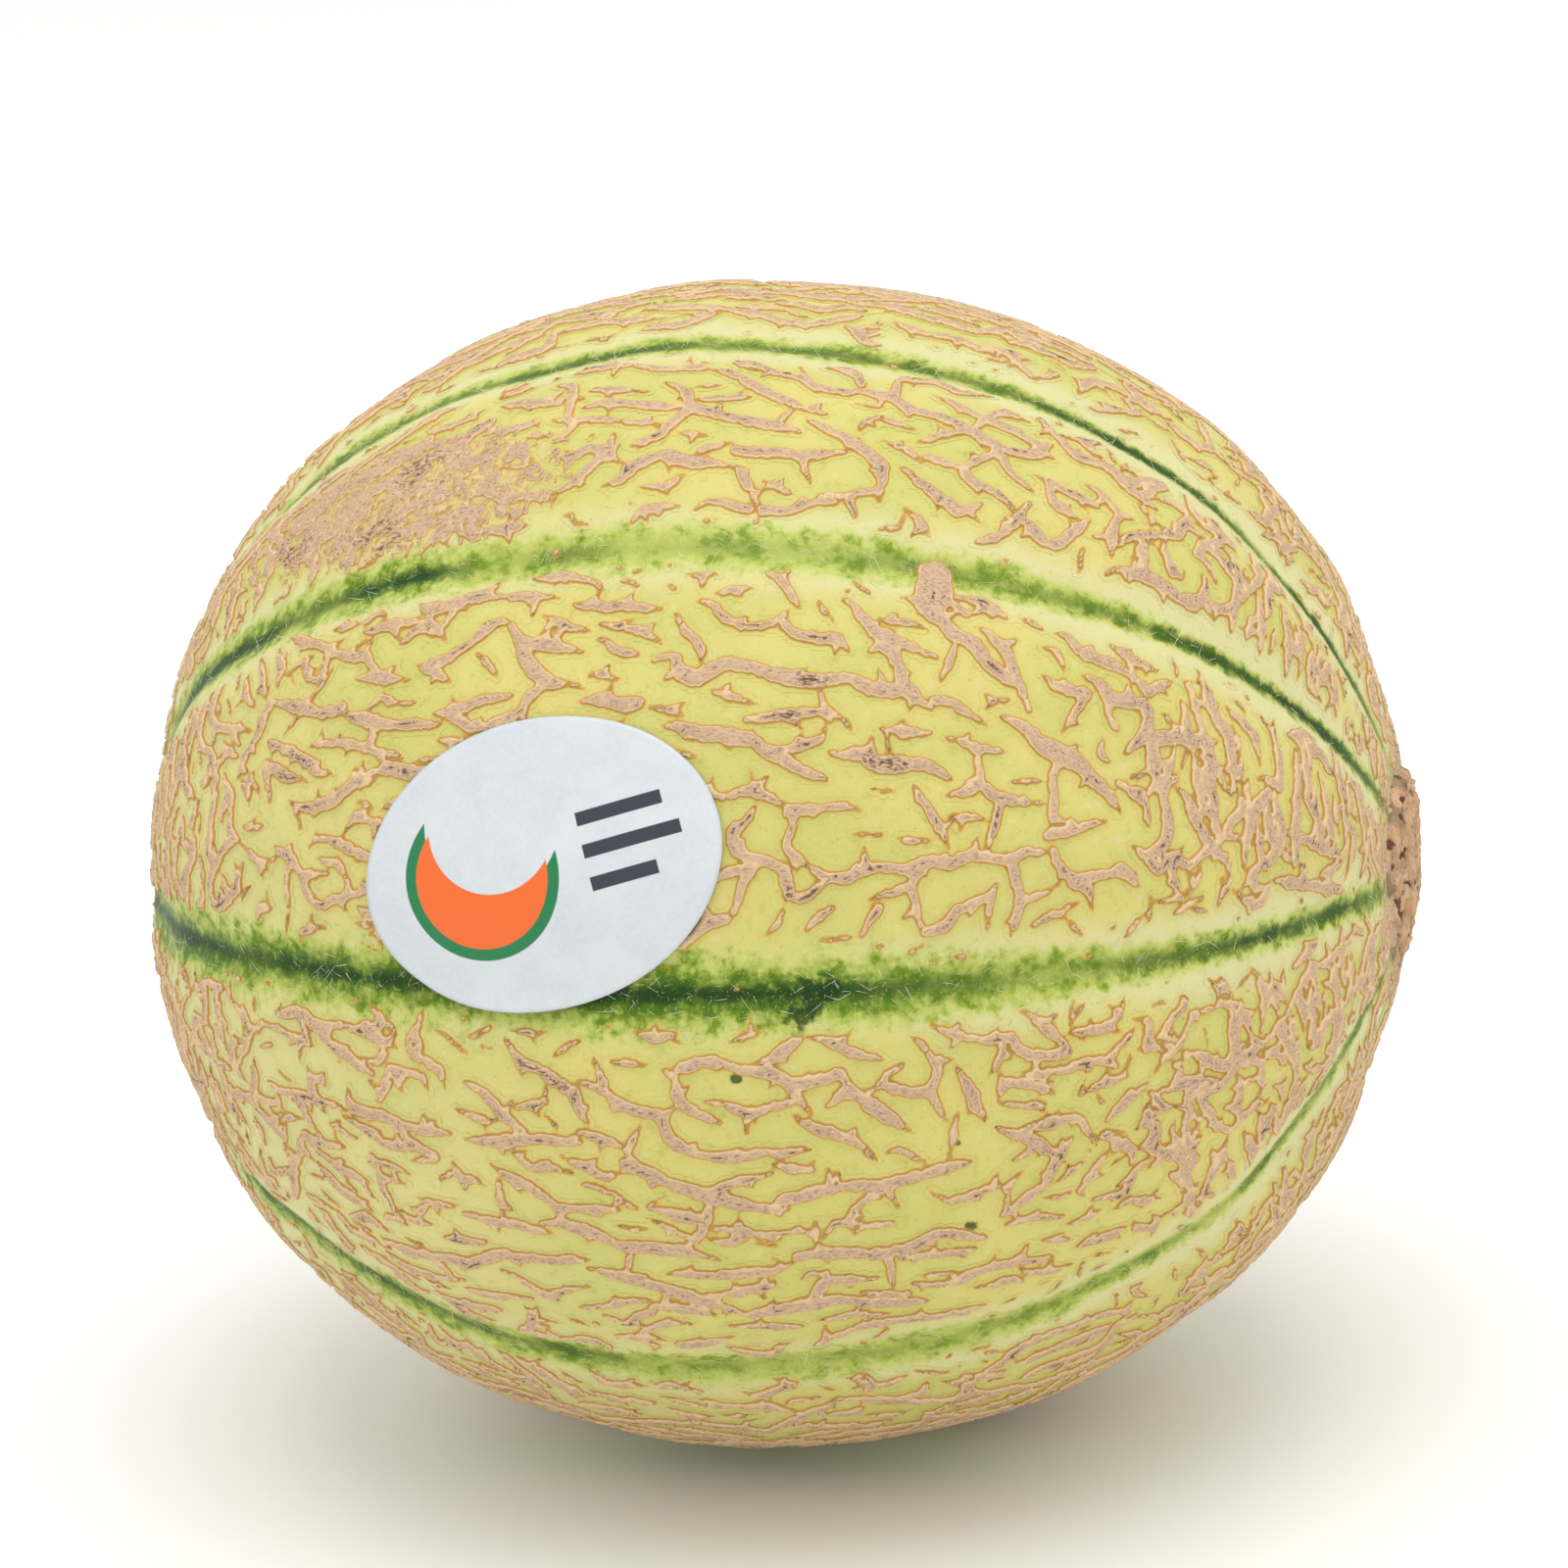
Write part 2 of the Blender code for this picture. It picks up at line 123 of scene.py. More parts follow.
# Strands of even width that make the tag of cork across a furrow, and the strands on the side that the photo
# shows: the width in millimetres, then the corners as pixels of the photo, which are cast back from the
# camera onto the fruit
TAG_STRANDS = (
    (1.5, (947, 573), (945, 596), (942, 617)),
    (1.5, (957, 570), (955, 598), (951, 628)),
    (1.3, (966, 577), (966, 598), (961, 617)),
)
SEEN_STRANDS = (
    (1.0, (708, 611), (729, 617), (740, 632), (756, 639), (784, 638), (797, 630), (807, 621)),
    (1.1, (797, 635), (810, 647), (829, 651), (842, 654), (853, 649), (870, 670)),
    (0.8, (686, 622), (698, 641), (713, 659), (724, 672)),
    (0.5, (834, 611), (843, 624), (851, 637)),
    (1.2, (855, 609), (872, 617), (883, 635), (898, 652), (918, 656), (937, 665), (958, 672)),
    (1.1, (883, 670), (896, 660), (909, 662), (915, 681), (920, 697), (934, 713), (952, 726)),
    (1.4, (673, 696), (690, 688), (708, 697), (729, 683), (746, 678), (768, 683), (803, 692), (826, 696),
     (848, 694), (867, 692), (883, 703), (917, 707)),
    (0.9, (949, 715), (966, 716), (985, 726), (1009, 742)),
    (0.9, (660, 675), (679, 670), (692, 670), (690, 681), (708, 691)),
    (1.0, (660, 721), (679, 723), (701, 732)),
    (1.4, (673, 742), (695, 743), (717, 748), (743, 751), (770, 756), (781, 767), (803, 778), (826, 790),
     (848, 796)),
    (1.0, (756, 735), (778, 732), (803, 731), (839, 726), (858, 732), (870, 748)),
    (0.5, (837, 703), (839, 713), (842, 726)),
    (1.5, (842, 769), (864, 772), (883, 769), (890, 780), (912, 782), (934, 780), (953, 783), (974, 799)),
    (0.5, (888, 748), (888, 769)),
    (0.8, (961, 751), (979, 756), (995, 762), (1014, 766), (1031, 764)),
    (0.8, (998, 764), (1000, 796), (992, 807), (961, 814)),
    (1.1, (1000, 798), (1014, 812), (1036, 817), (1068, 820)),
    (0.9, (929, 799), (941, 818), (957, 841), (969, 869)),
    (1.8, (1020, 729), (1043, 739), (1059, 755), (1078, 767), (1100, 777), (1116, 794), (1135, 812),
     (1145, 834)),
    (1.3, (998, 638), (1014, 649), (1027, 668), (1039, 694), (1052, 729)),
    (0.6, (1003, 707), (1012, 716), (1033, 713)),
    (0.5, (1012, 716), (1004, 726)),
    (0.9, (1083, 770), (1075, 796), (1075, 825), (1073, 847)),
    (0.8, (1020, 821), (1014, 847), (1003, 872)),
    (1.0, (733, 817), (765, 806), (778, 812), (800, 821), (810, 826)),
    (0.5, (765, 783), (768, 806)),
    (0.9, (800, 831), (819, 825), (839, 825), (864, 823), (880, 828)),
    (1.1, (773, 821), (762, 837), (746, 847), (749, 863), (762, 874), (800, 884), (802, 904), (807, 917),
     (823, 916), (839, 904), (851, 895)),
    (1.1, (851, 895), (864, 898), (880, 888), (896, 885), (925, 888), (941, 880), (966, 876)),
    (0.8, (811, 828), (808, 847), (800, 865), (816, 876), (834, 892), (848, 895)),
    (1.1, (966, 884), (982, 874), (1004, 874), (1030, 879), (1043, 871), (1071, 868)),
    (0.6, (880, 860), (883, 879), (890, 885)),
    (0.5, (867, 852), (883, 850), (902, 853)),
    (1.0, (768, 885), (759, 901), (752, 920), (743, 943)),
    (0.8, (934, 888), (931, 904), (934, 924), (939, 949)),
    (0.8, (883, 920), (902, 912), (931, 904)),
    (0.9, (898, 924), (886, 943), (877, 959)),
    (1.0, (1020, 898), (1012, 914), (992, 920), (976, 930), (966, 946), (941, 952)),
    (0.6, (1012, 914), (1008, 955)),
    (1.0, (1031, 879), (1036, 898), (1043, 917), (1039, 939), (1033, 959)),
    (1.1, (1075, 866), (1081, 885), (1094, 898), (1113, 908), (1119, 933)),
    (1.0, (1065, 853), (1087, 849), (1113, 841), (1135, 837)),
    (0.8, (1046, 920), (1068, 911), (1084, 901)),
    (1.2, (976, 656), (969, 678), (957, 700)),
    (1.3, (915, 608), (937, 611), (947, 624), (963, 633), (972, 652)),
    (1.2, (1075, 643), (1090, 645), (1103, 665), (1119, 673), (1138, 678), (1157, 697)),
    (0.9, (1059, 659), (1078, 662), (1087, 688)),
    (1.2, (1100, 688), (1119, 694), (1132, 716), (1157, 723)),
    (0.9, (1059, 684), (1078, 700), (1097, 707), (1110, 707), (1097, 726), (1083, 748)),
    (0.9, (1132, 716), (1130, 735), (1142, 748)),
    (0.7, (1126, 751), (1122, 770), (1138, 780)),
    (0.9, (819, 952), (832, 939), (855, 924)),
    (1.0, (800, 924), (794, 943), (778, 959)),
    (0.9, (1051, 947), (1068, 939), (1087, 930), (1106, 920)),
    (1.3, (511, 1057), (529, 1085), (549, 1092), (570, 1105), (587, 1119), (591, 1130), (601, 1150)),
    (1.1, (587, 1105), (604, 1107), (622, 1116), (642, 1130), (666, 1135), (680, 1136), (694, 1126)),
    (0.8, (604, 1078), (618, 1109)),
    (0.9, (561, 1081), (577, 1068), (594, 1061)),
    (1.2, (673, 1088), (690, 1102), (690, 1116), (711, 1136), (739, 1145)),
    (1.1, (690, 1092), (711, 1085), (732, 1085), (756, 1093), (783, 1095), (801, 1102), (814, 1119),
     (830, 1140)),
    (0.9, (718, 1124), (739, 1126), (759, 1135), (787, 1130), (811, 1126)),
    (0.5, (759, 1136), (763, 1161)),
    (1.1, (677, 1138), (684, 1161), (711, 1176), (742, 1179), (780, 1176), (832, 1173)),
    (1.1, (804, 1136), (821, 1148), (849, 1157), (876, 1166), (897, 1185)),
    (1.4, (840, 1133), (859, 1117), (880, 1119), (900, 1136), (935, 1159)),
    (0.7, (857, 1092), (869, 1114)),
    (0.7, (887, 1116), (904, 1099), (925, 1085)),
    (1.4, (473, 1162), (501, 1164), (529, 1162), (556, 1162), (597, 1167)),
    (1.3, (587, 1154), (608, 1159), (632, 1167), (649, 1181)),
    (0.7, (656, 1145), (640, 1171)),
    (0.9, (568, 1178), (591, 1188), (618, 1200), (639, 1195)),
    (1.6, (639, 1185), (663, 1195), (694, 1209), (728, 1219), (763, 1228), (808, 1233)),
    (0.8, (728, 1212), (756, 1204), (790, 1195)),
    (1.3, (794, 1224), (818, 1219), (842, 1212), (869, 1209), (900, 1209), (928, 1200), (962, 1192),
     (995, 1183)),
    (0.5, (844, 1188), (847, 1212)),
    (0.9, (725, 1226), (718, 1250), (704, 1274)),
    (1.5, (549, 1247), (573, 1248), (604, 1257), (632, 1271), (663, 1272), (704, 1276), (739, 1286)),
    (1.0, (498, 1186), (522, 1202), (546, 1212), (563, 1226), (575, 1241)),
    (0.7, (510, 1202), (513, 1241)),
    (1.2, (470, 1236), (508, 1245), (535, 1250), (570, 1260)),
    (1.3, (677, 1302), (697, 1298), (728, 1300), (756, 1297), (787, 1295), (814, 1286)),
    (1.4, (811, 1281), (842, 1276), (869, 1278), (900, 1279), (935, 1269), (962, 1254), (1010, 1264)),
    (1.4, (470, 1295), (494, 1285), (511, 1278), (539, 1283), (573, 1286), (604, 1286)),
    (1.6, (597, 1295), (628, 1300), (659, 1310), (694, 1319), (732, 1329), (763, 1340)),
    (1.6, (763, 1341), (797, 1334), (835, 1331), (852, 1326), (900, 1331), (952, 1329)),
    (0.6, (644, 1278), (639, 1300)),
    (0.6, (832, 1243), (832, 1267), (849, 1278)),
    (0.8, (906, 1281), (913, 1316)),
    (0.9, (876, 1319), (907, 1321), (935, 1322)),
    (0.6, (591, 1207), (625, 1216), (653, 1235)),
    (0.9, (508, 1293), (535, 1307), (556, 1322), (580, 1316), (604, 1312)),
    (0.8, (470, 1312), (504, 1321), (546, 1326)),
    (0.7, (587, 1334), (608, 1334), (635, 1329), (666, 1326)),
    (1.0, (649, 1362), (677, 1350), (711, 1352)),
    (0.9, (625, 1364), (663, 1364), (684, 1371)),
    (1.1, (690, 1374), (718, 1372), (752, 1365)),
    (0.9, (739, 1353), (780, 1352), (825, 1355)),
    (1.1, (828, 1381), (845, 1371), (842, 1353)),
    (1.1, (852, 1367), (883, 1355), (925, 1350), (959, 1347), (1010, 1333)),
    (1.3, (973, 1085), (987, 1105), (997, 1130), (1007, 1147)),
    (1.0, (928, 1057), (945, 1071), (959, 1092), (949, 1114), (918, 1114), (900, 1105)),
    (0.9, (949, 1114), (966, 1147)),
    (0.8, (978, 1133), (968, 1181)),
    (0.7, (866, 1260), (887, 1248), (918, 1245)),
    (0.7, (904, 1209), (918, 1233)),
    (0.7, (945, 1212), (973, 1228)),
    (1.1, (470, 1102), (491, 1112), (511, 1136), (535, 1155)),
    (1.3, (591, 419), (621, 412), (652, 414), (682, 419), (705, 414)),
    (1.0, (675, 389), (702, 402), (705, 417)),
    (0.8, (713, 410), (736, 408), (770, 405)),
    (1.5, (705, 419), (728, 425), (759, 429), (790, 433), (820, 440)),
    (1.2, (703, 423), (682, 437), (675, 448), (640, 458)),
    (1.4, (610, 496), (633, 490), (652, 475), (679, 465), (705, 471), (732, 471), (755, 475)),
    (1.1, (755, 475), (763, 492), (774, 513)),
    (1.0, (560, 467), (583, 465), (606, 459), (617, 463), (637, 475)),
    (1.0, (560, 503), (583, 492), (602, 477), (617, 467), (629, 440)),
    (0.9, (709, 463), (728, 456), (751, 450)),
    (1.2, (748, 458), (778, 459), (809, 461), (828, 463), (866, 460)),
    (0.8, (816, 465), (828, 492)),
    (1.2, (725, 375), (744, 379), (770, 394), (797, 406), (820, 414), (847, 421)),
    (0.7, (811, 415), (795, 429)),
    (1.3, (822, 425), (843, 437), (866, 448), (885, 463), (901, 475), (897, 513)),
    (1.0, (874, 442), (881, 431), (904, 423)),
    (1.3, (858, 394), (885, 396), (912, 404), (927, 417), (962, 427), (989, 440), (1012, 452),
     (1027, 459), (1057, 463), (1077, 448)),
    (0.9, (912, 402), (920, 379), (958, 383), (977, 394), (1019, 400)),
    (0.7, (901, 429), (939, 442)),
    (0.8, (931, 454), (958, 446), (985, 442)),
    (0.8, (897, 450), (927, 461), (943, 475)),
    (1.0, (1015, 458), (1031, 482), (1057, 503)),
    (0.9, (943, 467), (981, 479), (1012, 463)),
    (1.1, (981, 481), (996, 494), (1019, 503), (1038, 523)),
    (1.2, (916, 475), (943, 494), (962, 509), (977, 521), (1008, 513)),
    (0.8, (832, 500), (858, 502), (893, 498)),
    (0.9, (866, 505), (874, 528)),
    (1.0, (774, 515), (805, 517), (828, 507), (851, 509)),
    (1.0, (705, 517), (725, 507), (767, 515)),
    (1.4, (1023, 526), (1042, 528), (1061, 548), (1080, 557), (1115, 528)),
    (0.9, (992, 551), (1015, 548), (1034, 536), (1054, 509)),
    (1.1, (1052, 481), (1073, 492), (1100, 505), (1126, 519)),
    (1.1, (1107, 490), (1126, 502), (1142, 525), (1160, 532)),
    (1.1, (1142, 525), (1134, 544), (1134, 570)),
    (1.0, (816, 368), (824, 387), (839, 394), (870, 398)),
    (0.9, (839, 368), (874, 373), (881, 391)),
    (0.9, (996, 437), (1008, 425), (1027, 417), (1057, 429)),
    (0.9, (564, 391), (587, 394), (583, 414), (579, 429), (587, 437), (564, 456)),
    (0.7, (560, 429), (583, 431), (640, 431)),
    (0.8, (644, 371), (675, 377), (721, 375)),
    (1.4, (1128, 585), (1145, 580), (1170, 588), (1193, 599), (1201, 609), (1224, 614), (1230, 597),
     (1224, 587)),
    (1.0, (1213, 560), (1230, 577), (1241, 599)),
    (1.2, (1249, 560), (1258, 577), (1261, 597), (1258, 622), (1261, 647)),
    (0.9, (1280, 605), (1286, 633), (1292, 670)),
    (0.9, (1308, 611), (1311, 633), (1317, 656), (1318, 692)),
    (0.8, (1342, 653), (1339, 678), (1341, 706)),
    (0.9, (1356, 673), (1365, 701), (1370, 735)),
    (1.2, (1123, 701), (1137, 715), (1168, 721), (1168, 740), (1165, 754), (1145, 771)),
    (1.4, (1170, 752), (1190, 754), (1221, 757), (1244, 757)),
    (1.2, (1221, 729), (1227, 757), (1235, 777), (1246, 797), (1258, 814)),
    (0.9, (1159, 695), (1170, 709), (1182, 698), (1199, 695)),
    (1.0, (1249, 715), (1263, 732), (1280, 749), (1286, 785)),
    (1.2, (1173, 757), (1176, 785), (1187, 811), (1193, 845), (1190, 859), (1170, 873), (1154, 861)),
    (1.5, (1137, 794), (1151, 805), (1168, 819), (1173, 847)),
    (1.3, (1196, 802), (1213, 814), (1218, 836), (1230, 856), (1244, 875), (1255, 870)),
    (0.9, (1280, 794), (1297, 797), (1311, 808)),
    (1.2, (1292, 808), (1292, 842), (1303, 864), (1320, 881)),
    (1.2, (1323, 760), (1323, 799), (1320, 842), (1323, 884)),
    (1.0, (1345, 785), (1351, 819), (1354, 842), (1362, 867)),
    (1.0, (1365, 757), (1368, 799), (1370, 836), (1387, 859)),
    (1.0, (1320, 853), (1342, 861), (1359, 870), (1376, 875)),
    (1.0, (1263, 814), (1269, 825), (1252, 842), (1249, 853), (1269, 859)),
    (1.2, (1297, 898), (1320, 901), (1348, 904), (1379, 912)),
    (1.2, (1100, 898), (1117, 892), (1134, 892), (1145, 884), (1154, 898), (1168, 906)),
    (1.0, (1170, 878), (1182, 890), (1196, 873), (1213, 884), (1232, 867)),
    (1.2, (1176, 912), (1176, 946)),
    (1.1, (1199, 935), (1213, 923), (1232, 915)),
    (1.0, (1269, 909), (1275, 895), (1292, 878), (1303, 873)),
    (0.9, (408, 659), (427, 643), (443, 637), (456, 656)),
    (1.4, (424, 678), (437, 682), (462, 698)),
    (1.0, (437, 680), (462, 669), (481, 656), (507, 631), (520, 637)),
    (1.2, (520, 637), (532, 656), (564, 658), (599, 666)),
    (1.3, (363, 694), (392, 693), (424, 696)),
    (1.4, (532, 662), (542, 682), (558, 698), (580, 699), (602, 706)),
    (1.1, (555, 701), (535, 717), (535, 739)),
    (1.3, (440, 729), (462, 726), (491, 717), (526, 710)),
    (0.9, (484, 666), (500, 678), (510, 694)),
    (1.3, (347, 726), (373, 737), (402, 741), (453, 739)),
    (1.3, (280, 717), (309, 723), (331, 729), (354, 720)),
    (1.4, (586, 717), (612, 714), (638, 720), (656, 717)),
    (1.3, (606, 653), (615, 650), (628, 662), (656, 669)),
)

# Strands that grow: how far they keep from the ones that the photo shows, and their seed; for long and short
# cracks, how many places are tried, how far they are from other strands, and the usual length and width; for
# branches, how far apart they leave a strand, and their length and width; and how many places warts try
SEEN_ROOM = 2.2 * MM
NET_SEED = 7
LONG_CRACKS = (9000, 2.1 * MM, 13.0 * MM, 1.05 * MM)
SHORT_CRACKS = (14000, 1.5 * MM, 5.0 * MM, 0.80 * MM)
BRANCHES = (7.0 * MM, 2.8 * MM, 0.75 * MM)
WART_TRIES = 6000

# Mesh of the net: a grid of cells on each of the six sides of a cube that is drawn on the fruit, given by the
# cube side's outward way and the ways of its grid; how strands flow together where they meet; the lengths of
# the waves that fray their edges and break up the crust; how near to the outline a grid place is moved onto
# it, as a share of a cell; and how far the stained skin beside the strands reaches, and how high it lies over
# the rest of the rind
PATCH_CELLS = 300
WINDOW = 8
BLEND = 4.5 / MM
BLEND_GAIN = 0.15 * MM
COARSE_FRAY = 1.9 * MM
FINE_FRAY = 0.85 * MM
CRUST_WAVES = 4.0 * MM
SNAP = 0.30
FRINGE = 0.30 * MM
SHEET_LIFT = 0.025 * MM
PATCHES = {
    "front": ((0, -1, 0), (1, 0, 0), (0, 0, 1)),
    "back": ((0, 1, 0), (-1, 0, 0), (0, 0, 1)),
    "top": ((0, 0, 1), (1, 0, 0), (0, 1, 0)),
    "bottom": ((0, 0, -1), (1, 0, 0), (0, -1, 0)),
    "stem_end": ((1, 0, 0), (0, 1, 0), (0, 0, 1)),
    "blossom_end": ((-1, 0, 0), (0, -1, 0), (0, 0, 1)),
}

# Relief of the net: how high it stands, how soon it rises from its outline, how far inside that its lip lies,
# how far its middle drops behind the lip, and the height and the size of its bumps
NET_RELIEF = {
    "Height": 0.46 * MM,
    "Slope": 0.12 * MM,
    "Lip": 0.26 * MM,
    "Drop": 0.12 * MM,
    "Bumps": 0.20 * MM,
    "Bump Size": 0.7 * MM,
}

# Small dark green spots of the skin and brown spots of the cork: pixels of the photo, and their radii
GREEN_SPOTS = (
    ((990, 1250), 0.75 * MM), ((750, 1103), 0.6 * MM), ((978, 1167), 0.4 * MM),
    ((830, 1018), 2.0 * MM), ((815, 1040), 1.4 * MM), ((848, 1010), 1.2 * MM),
)
BROWN_SPOTS = (
    ((829, 694), 1.6 * MM), ((902, 780), 2.4 * MM), ((668, 722), 1.8 * MM), ((803, 731), 1.9 * MM),
    ((545, 1085), 2.0 * MM), ((575, 1112), 2.2 * MM), ((600, 1068), 1.4 * MM), ((300, 792), 2.6 * MM),
    ((350, 742), 1.8 * MM), ((820, 915), 2.0 * MM), ((430, 478), 3.0 * MM), ((385, 545), 3.2 * MM),
    ((300, 560), 3.0 * MM), ((1440, 880), 2.0 * MM),
)

# Stem scar and the blossom's button: their radii, heights, lips and roughness; how deep the skirt and the
# closed underside of both reach into the rind; and the rings and sides of their meshes
SCAR_RADIUS = 10.6 * MM
SCAR_HEIGHT = 1.7 * MM
SCAR_LIP = 1.1 * MM
SCAR_ROUGHNESS = 0.20 * MM
BUTTON_RADIUS = 4.8 * MM
BUTTON_HEIGHT = 0.4 * MM
BUTTON_LIP = 0.2 * MM
BUTTON_ROUGHNESS = 0.10 * MM
SKIRT_DEPTH = 0.3 * MM
UNDERSIDE_DEPTH = 0.9 * MM
SCAR_RINGS = 46
SCAR_SIDES = 150

# Hairs along the furrows: their number, how far they spread from a furrow's line, their usual, least and most
# length in millimetres, their radius, and how far a hair bends over its length
HAIRS = 2600
HAIR_SPREAD = 2.0 * MM
HAIR_LENGTH = 1.1
HAIR_LENGTH_LIMITS = (0.4, 2.6)
HAIR_RADIUS = 0.035 * MM
HAIR_BEND = 0.22 * MM

# Label: an oval of paper, unrolled on the rind; how much of a furrow's depth it bridges; and the rings and
# sides of its mesh
LABEL_LENGTH = 38.5 * MM
LABEL_HEIGHT = 29.2 * MM
LABEL_ALONG = -11.9 * MM
LABEL_TURN = 16.8
LABEL_TILT = 15.4
LABEL_LIFT = 0.50 * MM
LABEL_BRIDGE = 0.35
LABEL_RINGS = 36
LABEL_SIDES = 144
PAPER_THICKNESS = 0.12 * MM

# Print on the label, in millimetres from its middle: a slice's rind and its flesh, each as one circle without
# another, both with a centre and a radius; bars, each with its left, right, low and high edge; and half the
# width of a printed edge
SLICE_RIND = ((-6.0, 0.4, 8.4), (-3.6, 5.4, 7.4))
SLICE_FLESH = ((-6.0, 0.4, 7.2), (-3.7, 5.2, 6.9))
BARS = ((5.2, 14.2, 2.6, 4.0), (5.2, 15.4, -0.7, 0.7), (5.2, 12.2, -4.0, -2.6))
CIRCLE_EDGE = 0.07
BAR_EDGE = 0.06

# Camera: direction and distance from the fruit's middle, roll in degrees, lens in millimetres, how far the
# middle of the picture lies to the right of and above the fruit's middle, the sensor's width in millimetres,
# and the photo's width and height in pixels
CAMERA_AZIMUTH = 11.7
CAMERA_ELEVATION = 16.0
CAMERA_ROLL = -3.3
CAMERA_DISTANCE = 0.6125
CAMERA_LENS = 127.05
CAMERA_RIGHT = 0.6 * MM
CAMERA_UP = 8.7 * MM
SENSOR = 36.0
PHOTO_SIZE = 1600

# Stage: half the floor's width, how far it lies under the resting surface, and the light's place, size and
# power
FLOOR_HALF_WIDTH = 3.0
FLOOR_DROP = 0.0002
LIGHT_PLACE = (0.10, -0.22, 1.25)
LIGHT_SIZE = 0.9
LIGHT_POWER = 6.3


# The form of the rind

def smooth(low, high, value):
    """0 below low, 1 above high, and a smooth step between. It takes numbers and arrays."""
    share = np.clip((value - low) / (high - low), 0.0, 1.0)
    return share * share * (3.0 - 2.0 * share)


def section_radius(latitude):
    """The smooth body's radius at a latitude."""
    return RADIUS * np.maximum(np.cos(latitude), 0.0) ** BLUNTNESS


def meridian_rate(latitude):
    """How far a place moves over the smooth body for each radian of latitude."""
    along = HALF_LENGTH * np.cos(latitude)
    inwards = BLUNTNESS * section_radius(latitude) * np.tan(latitude)
    return np.hypot(along, inwards)


def furrow_gaps(turn):
    """The angle from each place to every furrow, along a last axis."""
    return np.abs((np.asarray(turn)[..., None] - np.radians(FURROW_TURNS) + np.pi) % (2.0 * np.pi) - np.pi)


def furrow_distance(latitude, turn):
    """The distance over the rind from each place to its nearest furrow."""
    return furrow_gaps(turn).min(axis=-1) * section_radius(latitude)


def furrow_depth(latitude, turn):
    """How far the rind lies under the smooth body because of the furrows."""
    distance = furrow_distance(latitude, turn)
    valley = VALLEY_DEPTH * np.exp(-((distance / VALLEY_HALF_WIDTH) ** 2))
    groove = GROOVE_DEPTH * np.exp(-((distance / GROOVE_HALF_WIDTH) ** 2))
    fade = smooth(FURROW_FADE_RADIUS, 2.5 * FURROW_FADE_RADIUS, section_radius(latitude))
    return fade * (valley + groove)


def outward_at(latitude, turn):
    """The smooth body's outward direction at each place."""
    slope = BLUNTNESS * section_radius(latitude) * np.tan(latitude) / (HALF_LENGTH * np.cos(latitude))
    length = np.hypot(slope, 1.0)
    return np.stack([slope / length, -np.cos(turn) / length, np.sin(turn) / length], axis=-1)


def body_at(latitude, turn):
    """The points of the smooth body, round an axis through the origin."""
    radius = section_radius(latitude)
    return np.stack([
        HALF_LENGTH * np.sin(latitude) + 0.0 * turn,
        -radius * np.cos(turn),
        radius * np.sin(turn),
    ], axis=-1)


def swell(points):
    """Gentle hills and hollows, as a sum of a few plane waves."""
    draw = np.random.default_rng(5)
    height = np.zeros(points.shape[:-1])
    for _ in range(SWELL_WAVES):
        way = draw.normal(size=3)
        way *= 2.0 * np.pi / draw.uniform(*SWELL_LENGTHS) / np.linalg.norm(way)
        height += np.sin(points @ way + draw.uniform(0.0, 2.0 * np.pi))
    return SWELL_HEIGHT * height


def rind_at(latitude, turn, height=0.0):
    """Points over the rind in the scene, at a height above it, none of them below the resting surface."""
    latitude = np.clip(latitude, -POLE, POLE)
    body = body_at(latitude, turn)
    over = height + swell(body) - furrow_depth(latitude, turn)
    points = body + outward_at(latitude, turn) * np.asarray(over)[..., None]
    points[..., 2] = np.maximum(points[..., 2] + LIFT, 0.0)
    return points


def angles_at(points):
    """The latitude, the turn and the height over the smooth body of points near it, in the scene."""
    x, y, z = points[:, 0], points[:, 1], points[:, 2] - LIFT
    rho = np.maximum(np.hypot(y, z), 1e-6)
    power = 2.0 / BLUNTNESS
    over = (x / HALF_LENGTH) ** 2 + (rho / RADIUS) ** power - 1.0
    steep_x = 2.0 * x / HALF_LENGTH ** 2
    steep_rho = power * (rho / RADIUS) ** (power - 1.0) / RADIUS
    steep = np.hypot(steep_x, steep_rho)
    on_body = x - over / steep * steep_x / steep
    latitude = np.arcsin(np.clip(on_body / HALF_LENGTH, -1.0, 1.0))
    return np.clip(latitude, -POLE, POLE), np.arctan2(z, -y), over / steep


def worn(latitude, turn):
    """0 round the flat spot, where the net is worn down, and 1 away from it."""
    spot = body_at(0.0, np.radians(-90.0))
    distance = np.linalg.norm(body_at(latitude, turn) - spot, axis=-1)
    return smooth(*WORN_RADII, distance)


def corky_patch(latitude, turn):
    """How far the net has grown together in the patch of cork on the upper left, from 0 to 1."""
    past = np.degrees(latitude) - CORKY_MIDDLE[0]
    along = past / CORKY_HALF_LENGTHS[0]
    around = (np.degrees(turn) - CORKY_MIDDLE[1] + CORKY_SLANT * past) / CORKY_HALF_LENGTHS[1]
    return CORKY_SHARE * (1.0 - smooth(0.55, 1.15, np.hypot(along, around)))


def cork_share(latitude, turn):
    """How far cork that has grown together covers the rind, from 0 to 1: in the patch and at both ends."""
    radius = section_radius(latitude)
    stem_rim = smooth(*STEM_CORK_RADII, radius) * (latitude > 0)
    blossom_rim = smooth(*BLOSSOM_CORK_RADII, radius) * (latitude < 0)
    return np.maximum(corky_patch(latitude, turn), np.maximum(stem_rim, blossom_rim))


# Node trees

